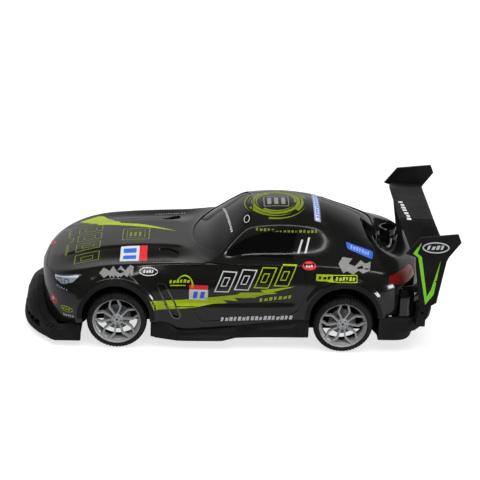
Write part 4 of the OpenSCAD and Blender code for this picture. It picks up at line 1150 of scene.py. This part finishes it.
def top_marks():
    def put(name, ink, shapes, **settings):
        return mark(name, ink, "top", shapes, **settings)

    def across(outline):
        """Shape drawn with its reading direction turned to run across the car."""
        return [(-y, x) for x, y in outline]

    put("hood_stripe", LIME, [[[(119.3, -38.7), (103, -18), (86.2, -13.6), (71.5, -9.2), (43.2, -2.2),
                                (70, -13.6),
                                (86.2, -17.9), (90, -24), (100.9, -42.6), (105.6, -44.1)]]])
    blocks = [across(slant(-16 + 14.6 * k, -117.5, 11.0, 18, -1.5, 1)) for k in range(4)]
    put("hood_blocks", OLIVE, [loop(b, 0.6) for b in blocks]
        + [loop(across(slant(-12.4 + 14.6 * k, -113, 4.6, 9, -0.8, 1)), 0.5) for k in range(4)])
    put("hood_badge", OLIVE, [loop(box_shape(63.7, -6, 84, 14.4, 1.2), 0.7),
                              loop(box_shape(67, -2.6, 80.8, 11, 0.8), 0.5)]
        + [[box_shape(70 + 3.4 * k, 0.4, 71.8 + 3.4 * k, 8.2)] for k in range(3)])
    put("hood_small_marks", OLIVE, [arc_band(124.4, 2.5, 3.4, 4.3, 100, 260, 0.5)]
        + bar_row((125.6, -16), (125.6, -3), 5, 2.2, 0.62) + bar_row((125.4, 9), (125.4, 25), 6, 2.2, 0.62))
    put("hood_plate_white", WHITE, [[box_shape(70.2, 23.9, 84, 42.6, 0.6)]])
    put("hood_plate_red", RED, [[box_shape(64.4, 23.9, 70.0, 42.6, 0.5)]])
    put("hood_plate_blue", BLUE, [[box_shape(72.4, 26.6, 81.8, 31.4, 0.6)],
                                  [box_shape(72.4, 34.2, 81.8, 39.0, 0.6)]],
        lift=0.13)
    put("hood_ridge_marks", GREY, bar_row((59.6, 46.6), (36, 47.6), 12, 1.2, 0.6)
        + bar_row((61, -43.0), (37, -43.4), 12, 1.2, 0.6))
    put("nose_oval", RED, [[ellipse(136.6, -7, 1.9, 2.8)]], pitch=1.0)
    cx, cy = -29.4, 4.2
    put("roof_rings", OLIVE, [[ellipse(cx, cy, 18.2, 18.2, 72), ellipse(cx, cy, 15.8, 15.8, 72)]]
        + [arc_band(cx, cy, 18.4, 21.2, a, a + 105, 1.0) for a in (20, 140, 260)]
        + [arc_band(cx, cy, 22.0, 23.8, a, a + 85, 1.0) for a in (75, 195, 315)]
        + [arc_band(cx, cy, 13.4, 15.6, a, a + 110, 1.0) for a in (50, 170, 290)], pitch=2.0)
    put("roof_badge", GREY, [loop(box_shape(-39, cy - 7.6, -20.4, cy + 8.6, 1.5), 0.55)]
        + [[box_shape(-36.4 + 5.2 * k, cy - 4.6, -33.4 + 5.2 * k, cy + 5.6)] for k in range(3)])
    put("roof_small_oval", WHITE, [loop(ellipse(-7.6, 24.5, 2.1, 4.2), 0.45)])
    put("roof_band_white", WHITE, [[box_shape(-61.6, -18, -57.2, 26, 0.8)]])
    put("roof_band_blue", BLUE, [loop(box_shape(-61.4, -17.6, -57.4, 25.6, 0.6), 0.5)]
        + bar_row((-60.4, -15.4), (-60.4, 23.4), 14, -1.9, 0.62), lift=0.13)
    put("screen_marks", WHITE, bar_row((8.6, -14), (2.4, 31.5), 16, 1.3, 0.6), slot="glazing", lift=-0.17,
        sink=0.3)


for side_name, side in SIDES:
    side_marks(side_name)
top_marks()


for side_name, side in SIDES:
    plate_tree = node_tree(f"wing_end_plate_{side_name}")
    mark(f"end_plate_v_{side_name}", GREEN, side_name, [[END_PLATE_V]], slot="black_plastic", tree=plate_tree)
    mark(f"end_plate_oval_{side_name}", WHITE, side_name,
         [loop(ellipse(-140, 87.9, 9.6, 4.3, 48), 0.9)]
          + bar_row((-133.6, 86.2), (-146.4, 86.6), 4, 3.2, 0.66, 1.0),
         slot="black_plastic", tree=plate_tree)
mark("wing_marks", WHITE, "top", bar_row((-124.6, -2.4), (-127.4, 33), 7, 3.2, 0.7), slot="black_plastic",
     tree=node_tree("wing_blade"))

# ---------------------------------------------------------------- front bumper

BUMPER_AT = 105.0
BUMPER_LOW = cad_mm("front_bumper")[0][2]
# Outline at the bottom and along the crest, and the height where the bumper meets the body,
# from the centre line back
FOOT = [(0, 157.7), (18, 156.6), (34, 152.8), (47, 145.6), (56.5, 137), (61.6, 130.5), (62, 121), (62, 111.6)]
CREST = [(0, 148.4, 26.4), (16, 147.6, 24.2), (30, 144.8, 19.4), (42, 140.0, 15.4), (51, 134.0, 13.2),
         (58.0, 127.8, 13.4), (61.0, 120, 15.6), (61.2, 111.6, 17.6)]
MEETS = [(0, 28.0), (16, 25.6), (30, 20.4), (42, 16.2), (51, 14.0), (58.0, 14.2), (61.0, 16.4), (61.2, 18.4)]
INTAKE = (8.4, 13.4)
FINS = 9


def bumper_sections(count):
    """Radial sections of the left half: plan direction, and the outer line as (distance, height) points."""
    ts = np.linspace(0, 1, count)
    keys = np.linspace(0, 1, len(FOOT))
    foot, crest, meets = (np.array([line_at(keys, column, ts) for column in np.array(rows, float).T]).T
                          for rows in (FOOT, CREST, MEETS))
    sections = []
    for t, (fy, fx), (cy, cx, cz), (_, mz) in zip(ts, foot, crest, meets):
        ahead = np.array([fx - BUMPER_AT, fy])
        reach = np.linalg.norm(ahead)
        ahead /= reach
        top = math.hypot(cx - BUMPER_AT, cy)
        at, _, _, _ = body_tree.ray_cast(Vector((BUMPER_AT + ahead[0] * 90, ahead[1] * 90, mz)),
                                         Vector((-ahead[0], -ahead[1], 0)))
        inner = math.hypot(at.x - BUMPER_AT, at.y) + 0.7 if at else top - 4
        sections.append((ahead, reach, top, cz, min(inner, top - 1.2), mz))
    return sections


def line_at(keys, values, t):
    """Smooth values between evenly spaced keys."""
    return curve(list(zip(keys, values)), t)


def bumper_shell():
    rings = []
    half = bumper_sections(64)
    plan = [(np.array([a[0], -a[1]]), *rest) for a, *rest in half[:0:-1]] + half
    for ahead, reach, top, cz, inner, mz in plan:
        y_out = ahead[1] * reach
        open_here = float(smooth_step((52 - abs(y_out)) / 5))
        z0, z1 = INTAKE
        wall = [(reach, BUMPER_LOW), (reach + 0.05, 6.3), (reach - 0.9, 7.0), (reach - 1.1, z0)]
        wall += [(reach - 1.1 - 3.2 * open_here, z0 + 0.4),
                 (reach - 1.4 - 3.2 * open_here, min(z1, cz - 1) - 0.4),
                 (reach - 1.5, min(z1, cz - 1))]
        swell = 0.9 + 1.2 * open_here
        rest = [(reach - 1.5 + (top - reach + 1.5) * k / 6 + swell * math.sin(math.pi * k / 6),
                 min(z1, cz - 1) + (cz - min(z1, cz - 1)) * k / 6) for k in range(1, 6)]
        lid = [(top, cz - 0.5), (top - 0.35, cz + 0.1), (top - 1.0, cz + 0.35), (inner, mz),
               (inner - 0.9, mz - 0.7)]
        under = [(inner - 0.9, mz - 2.2), (top - 2.6, cz - 2.0), (reach - 3.2, min(z1, cz - 1) + 0.6)]
        under += [(reach - 3.0 - 3.2 * open_here, min(z1, cz - 1) - 0.4),
                  (reach - 2.9 - 3.2 * open_here, z0 + 0.4),
                  (reach - 2.6, 7.2), (reach - 1.6, BUMPER_LOW)]
        rings.append([(BUMPER_AT + ahead[0] * r, ahead[1] * r, z) for r, z in wall + rest + lid + under])
    rings = np.array(rings)
    m, n, _ = rings.shape
    index = np.arange(m * n).reshape(m, n)
    quads = [[index[i, j], index[i + 1, j], index[i + 1, (j + 1) % n], index[i, (j + 1) % n]]
             for i in range(m - 1) for j in range(n)]
    quads += [index[0].tolist(), index[-1, ::-1].tolist()]
    return make("bumper_shell", rings.reshape(-1, 3), quads, None, 32)


def bumper_fins():
    """Slanted vanes that stand in the long intake."""
    vanes = []
    half = bumper_sections(121)
    for side in (-1, 1):
        for k in range(FINS):
            pick = 8 + k * 9
            ahead, reach, *_ = half[pick]
            lean, *_ = half[pick + 5]
            z0, z1 = INTAKE
            points = []
            for direction, z in ((ahead, z0 - 0.3), (lean, z1 + 0.3)):
                across = np.array([-direction[1], direction[0]])
                for depth, w in ((4.6, -0.6), (1.5, -0.45), (1.5, 0.45), (4.6, 0.6)):
                    p = direction * (reach - depth) + across * w
                    points.append((BUMPER_AT + p[0], side * p[1], z))
            vanes.append(make("vane", points, [[0, 1, 2, 3], [7, 6, 5, 4], [0, 4, 5, 1], [1, 5, 6, 2],
                                               [2, 6, 7, 3],
                                               [3, 7, 4, 0]]))
    return join("vanes", vanes)


def side_plate(side):
    """Flat end of the bumper ahead of the wheel."""
    outline = rounded([(111.5, BUMPER_LOW), (130.6, BUMPER_LOW), (132.4, 6.4), (130.8, 12.2), (121, 15.4),
                       (111.5, 17.6)], 0.8)
    return sided(prism(outline, 60.4, 62.6, "y"), "side_plate", side)


def front_bumper():
    pieces = [bumper_shell(), bumper_fins()]
    for _, side in SIDES:
        thing = side_plate(side)
        pieces.append(bevel(thing, 0.35, 2, 40, apply=True))
        for x, z in ((115.5, 8.0), (115.5, 13.6), (126.5, 8.0)):
            low, high = sorted((side * 62.2, side * 62.95))
            stud = spin([(0.01, low), (0.8, low), (0.8, high), (0.01, high)], 20, (x, 0, z))
            pieces.append(stud)
    floor = prism([(112, -58), (126, -58), (140, -47), (152, -26), (155, 0), (152, 26), (140, 47), (126, 58),
                   (112, 58)],
                  BUMPER_LOW + 0.2, BUMPER_LOW + 1.8)
    pieces.append(floor)
    return finish_piece(paint(join("front_bumper_detail", pieces), MATTE), "chassis", "black_plastic",
                        "front_bumper")


front_bumper()

# ---------------------------------------------------------------- trim of the body


def arch_trim(cx, cz, r, label, name):
    """Matt flare that stands proud round a wheel arch."""
    ring = [(cx + rr * math.cos(a), cz + rr * math.sin(a)) for rr, run in ((r + 0.1, 1), (r + 3.4, -1))
            for a in np.linspace(math.radians(-4), math.radians(184), 72)[::run]]
    return finish_piece(paint(laid([ring], label, lift=0.75, sink=0.8, name=name), MATTE), "chassis",
                        "black_plastic")


# Raised rim round the gill: a real raised lip, whose bright metal finish is a painted highlight along the
# slot's edge
def gill_highlight_loop(label):
    outline = rounded(offset(GILL, 0.9), 2.6)
    return mark(f"gill_loop_{label}", TRIM_AND_HIGHLIGHT, label, [[outline, offset(outline, -1.0)]], lift=0.5, sink=0.2)


def seal(name, outline, view, width=0.8, grow=0.15):
    """Raised bead round a window opening."""
    return mark(name, GLOSS, view, [[offset(outline, grow + width), offset(outline, grow)]],
                slot="gloss_black",
                lift=0.35, sink=0.2)


def skirt_trim(label):
    """Raised lips, hollows and screw holes on the outer face of a side skirt."""
    tree = node_tree(f"side_skirt_{label}")
    hollow = rounded([(-2, 17.2), (-16, 20.6), (-44, 23.2), (-46.4, 20.2), (-42, 17.2), (-16, 16.2)], 2)
    lobe = rounded([(42, 13.6), (24, 14.2), (-1, 11.6), (3, 9.6), (14, 8.6), (36, 8.8)], 2)
    for k, shape in enumerate((hollow, lobe)):
        mark(f"side_skirt_lip_{label}_{k + 1}", MATTE, label, [[offset(shape, 0.9), shape]],
             slot="black_plastic",
             tree=tree, lift=0.55, sink=0.3)
        mark(f"side_skirt_hollow_{label}_{k + 1}", INK_BLACK, label, [[offset(shape, -0.1)]],
             slot="black_plastic",
             tree=tree, lift=0.05, sink=0.3)
    mark(f"side_skirt_holes_{label}", INK_BLACK, label, [[ellipse(x, z, 0.95, 0.95, 20)] for x, z in
                                                        ((52.4, 13.4), (-50.2, 15.4))],
         slot="black_plastic", tree=tree, lift=0.05, sink=0.3, pitch=0.8)
    mark(f"side_skirt_tabs_{label}", MATTE, label, [[rounded(o, 0.6)] for o in
                                                   ([(59.6, 9.4), (46.5, 8.4), (46.5, 17), (52, 20.4),
                                                     (59.6, 20.6)],
                                                    [(-46.8, 11.4), (-53.6, 11.6), (-53.6, 22.6),
                                                     (-46.8, 22.0)])],
         slot="black_plastic", tree=tree, lift=0.4, sink=0.3)


seal("windscreen_seal", windscreen_outline(), "top")
seal("rear_window_seal", rear_window_outline(), "top")
for side_name, side in SIDES:
    seal(f"side_window_seal_{side_name}", side_window_outline(), side_name)
    skirt_trim(side_name)
    for end, arch in zip(("front", "rear"), ARCHES):
        arch_trim(*arch, side_name, f"{end}_arch_trim_{side_name}")
    gill_highlight_loop(side_name)
    # lamps: dark surround, bright bar and inner bowls on the clear cover
    lamp_view = facing(LAMP_AT, LAMP_TURN, side)
    mark(f"headlamp_frame_{side_name}", INK_BLACK, lamp_view,
         [loop(offset(headlamp_outline(), -0.35), 0.55), loop(ellipse(-4.6, -1.9, 2.7, 1.5, 28), 0.4),
          loop(ellipse(2.6, -0.7, 2.8, 1.6, 28), 0.4)], slot="headlamp_clear", lift=-0.1, sink=0.4, pitch=1.0)
    mark(f"headlamp_bar_{side_name}", WHITE, lamp_view,
         [[[(-11.4, -0.7), (-6, 0.4), (0.6, 2.1), (9.2, 4.7), (11.2, 5.0), (10.4, 3.5), (1, 1.3), (-6, -0.3),
            (-11.2, -1.5)]]],
         slot="headlamp_clear", lift=-0.08, sink=0.4, pitch=1.0)
    mark(f"headlamp_dashes_{side_name}", PALE_BLUE, lamp_view,
         bar_row((5.5, -6.0), (-7.5, -6.4), 5, 0.8, 0.45))


def corner_panel(side):
    """Glossy panel that squares off the rear corner between the quarter and the tail."""
    levels = ((22.5, 0.0), (30, 0.0), (38, 0.4), (44, 1.2), (48.5, 2.8), (50.5, 5.0))
    run = np.linspace(0, math.pi / 2, 25)
    loops = []
    for z, inset in levels:
        reach, wide = 21.5 - inset, 60.6 - inset
        outer = [(-119.6 - reach * math.sin(a) ** 0.9, 34 + (wide - 34) * math.cos(a) ** 0.6, z) for a in run]
        inner = [(-119.6 - (reach - 1.8) * math.sin(a) ** 0.9, 34 + (wide - 35.8) * math.cos(a) ** 0.6, z)
                 for a in run[::-1]]
        loops.append(outer + inner)
    rows = np.array(loops)
    m, n, _ = rows.shape
    index = np.arange(m * n).reshape(m, n)
    quads = [[index[i, j], index[i + 1, j], index[i + 1, (j + 1) % n], index[i, (j + 1) % n]]
             for i in range(m - 1) for j in range(n)]
    half = n // 2
    for row in (0, m - 1):
        quads += [[index[row, j], index[row, j + 1], index[row, n - 2 - j], index[row, n - 1 - j]]
                  for j in range(half - 1)]
    return sided(make("corner_panel", rows.reshape(-1, 3), quads, GLOSS, 40), "corner_panel", side)


for side_name, side in SIDES:
    corner = bevel(corner_panel(side), 0.4, 2, 40, apply=True)
    corner.name = f"rear_corner_panel_{side_name}"
    finish_piece(corner, "chassis", "gloss_black")
    corner_tree = BVHTree.FromPolygons([tuple(v.co / MM) for v in corner.data.vertices],
                                       [p.vertices[:] for p in corner.data.polygons])
    mark(f"rear_corner_arch_{side_name}", TRIM_AND_HIGHLIGHT, facing((-128, 52, 34), 128, side),
         [loop([(-7, -8), (-7, 6), (-5.4, 10), (-2, 12.4), (2, 12.4), (5, 10), (6.4, 5), (6.4, -8)], 0.35)],
         slot="gloss_black", tree=corner_tree, lift=0.12, sink=0.3)

# ---------------------------------------------------------------- carried CAD pieces

LOOK = {
    "side_skirt_left": MATTE, "side_skirt_right": MATTE, "rear_bumper": MATTE,
    "wing_blade": WING, "wing_end_plate_left": WING, "wing_end_plate_right": WING, "filler_neck": GLOSS,
    "water_tank": TANK, "atomizer_disc": BRASS, "chassis_tray": FRAME, "front_top_plate": FRAME,
    "steering_servo": SERVO, "servo_arm": NYLON, "tie_rod": FRAME, "knuckle_left": FRAME,
    "knuckle_right": FRAME, "battery_pack": WRAP, "battery_door": FRAME, "control_board": BOARD,
    "antenna_wire": WIRE, "switch_housing": STEEL, "switch_slider": NYLON, "lamp_boards": BOARD,
    "gearbox_case": FRAME, "gearbox_cover": FRAME, "motor_can": STEEL, "motor_shaft": STEEL,
    "motor_pinion": BRASS, "intermediate_shaft": STEEL, "intermediate_gear": NYLON, "axle_gear": NYLON,
    "rear_axle": STEEL, "axle_bushes": BRASS, "body_screws": STEEL,
}
for node, look in LOOK.items():
    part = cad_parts[node]
    part.data.materials.clear()
    part.data.materials.append(look)
    bevel(part, 0.25)

# ---------------------------------------------------------------- stage, light and camera


def stage():
    pale = moulded("floor_paper", (0.36, 0.36, 0.36, 1), rough=0.7, grain=0.02, tint=0.01, worn=0.0)
    bpy.ops.mesh.primitive_plane_add(size=12, location=(0, 0, 0))
    floor = bpy.context.object
    floor.name = "floor"
    nodes, links = pale.node_tree.nodes, pale.node_tree.links
    glow = nodes.new("ShaderNodeEmission")
    path = nodes.new("ShaderNodeLightPath")
    both = nodes.new("ShaderNodeAddShader")
    reflected = nodes.new("ShaderNodeMath")
    reflected.operation = "MULTIPLY"
    reflected.inputs[1].default_value = 0.72
    links.new(path.outputs["Is Camera Ray"], reflected.inputs[0])
    links.new(reflected.outputs[0], glow.inputs["Strength"])
    links.new(nodes["Principled BSDF"].outputs[0], both.inputs[0])
    links.new(glow.outputs[0], both.inputs[1])
    links.new(both.outputs[0], nodes["Material Output"].inputs["Surface"])
    floor.data.materials.append(pale)

    world = bpy.data.worlds.new("studio")
    bpy.context.scene.world = world
    world.use_nodes = True
    tree = world.node_tree
    back = tree.nodes["Background"]
    seen = tree.nodes.new("ShaderNodeBackground")
    seen.inputs["Color"].default_value = (1, 1, 1, 1)
    seen.inputs["Strength"].default_value = 1.0
    place = tree.nodes.new("ShaderNodeTexCoord")
    split = tree.nodes.new("ShaderNodeSeparateXYZ")
    tree.links.new(place.outputs["Generated"], split.inputs[0])
    # a bright wall behind the car, fading out overhead; the rest of the studio is dark
    steps = (("Y", 0.1, -0.45), ("Z", 0.85, 0.4))
    parts = []
    for axis, dark, bright in steps:
        ramp = tree.nodes.new("ShaderNodeMapRange")
        ramp.interpolation_type = "SMOOTHSTEP"
        for key, v in (("From Min", dark), ("From Max", bright), ("To Min", 0), ("To Max", 1)):
            ramp.inputs[key].default_value = v
        tree.links.new(split.outputs[axis], ramp.inputs["Value"])
        parts.append(ramp.outputs[0])
    wall = tree.nodes.new("ShaderNodeMath")
    wall.operation = "MULTIPLY"
    tree.links.new(parts[0], wall.inputs[0])
    tree.links.new(parts[1], wall.inputs[1])
    level = tree.nodes.new("ShaderNodeMath")
    level.operation = "MULTIPLY_ADD"
    level.inputs[1].default_value = 0.48
    level.inputs[2].default_value = 0.05
    tree.links.new(wall.outputs[0], level.inputs[0])
    back.inputs["Color"].default_value = (1, 1, 1, 1)
    tree.links.new(level.outputs[0], back.inputs["Strength"])
    path = tree.nodes.new("ShaderNodeLightPath")
    mix = tree.nodes.new("ShaderNodeMixShader")
    tree.links.new(path.outputs["Is Camera Ray"], mix.inputs[0])
    tree.links.new(back.outputs[0], mix.inputs[1])
    tree.links.new(seen.outputs[0], mix.inputs[2])
    tree.links.new(mix.outputs[0], tree.nodes["World Output"].inputs["Surface"])


def lamp(name, at, size, power, target=(0, 0, 0.04)):
    data = bpy.data.lights.new(name, "AREA")
    data.shape = "RECTANGLE"
    data.size, data.size_y = size
    data.energy = power
    thing = bpy.data.objects.new(name, data)
    bpy.context.scene.collection.objects.link(thing)
    thing.location = at
    thing.rotation_euler = (Vector(target) - Vector(at)).to_track_quat("-Z", "Y").to_euler()
    return thing


def camera():
    data = bpy.data.cameras.new("camera")
    data.lens = 103.9
    data.sensor_width = 36
    data.clip_start = 0.01
    thing = bpy.data.objects.new("camera", data)
    bpy.context.scene.collection.objects.link(thing)
    yaw, pitch, roll = -0.038, 0.425, 0.039
    ahead = Vector((math.sin(yaw) * math.cos(pitch), -math.cos(yaw) * math.cos(pitch), -math.sin(pitch)))
    right = ahead.cross(Vector((0, 0, 1))).normalized()
    up = right.cross(ahead)
    tilted = right * math.cos(roll) + up * math.sin(roll)
    upper = up * math.cos(roll) - right * math.sin(roll)
    turn = Matrix((tilted, upper, -ahead)).transposed().to_4x4()
    thing.matrix_world = Matrix.Translation((0.032, 0.9514, 0.4906)) @ turn
    bpy.context.scene.camera = thing


stage()
lamp("key_softbox", (0.05, 0.25, 1.5), (2.2, 1.8), 40).visible_glossy = False
lamp("strip_light", (0.0, 0.42, 1.3), (1.5, 0.09), 2.2)
lamp("rear_softbox", (-1.0, 0.78, 0.32), (0.34, 0.26), 5.0)
camera()
bpy.context.scene.view_settings.view_transform = "Standard"
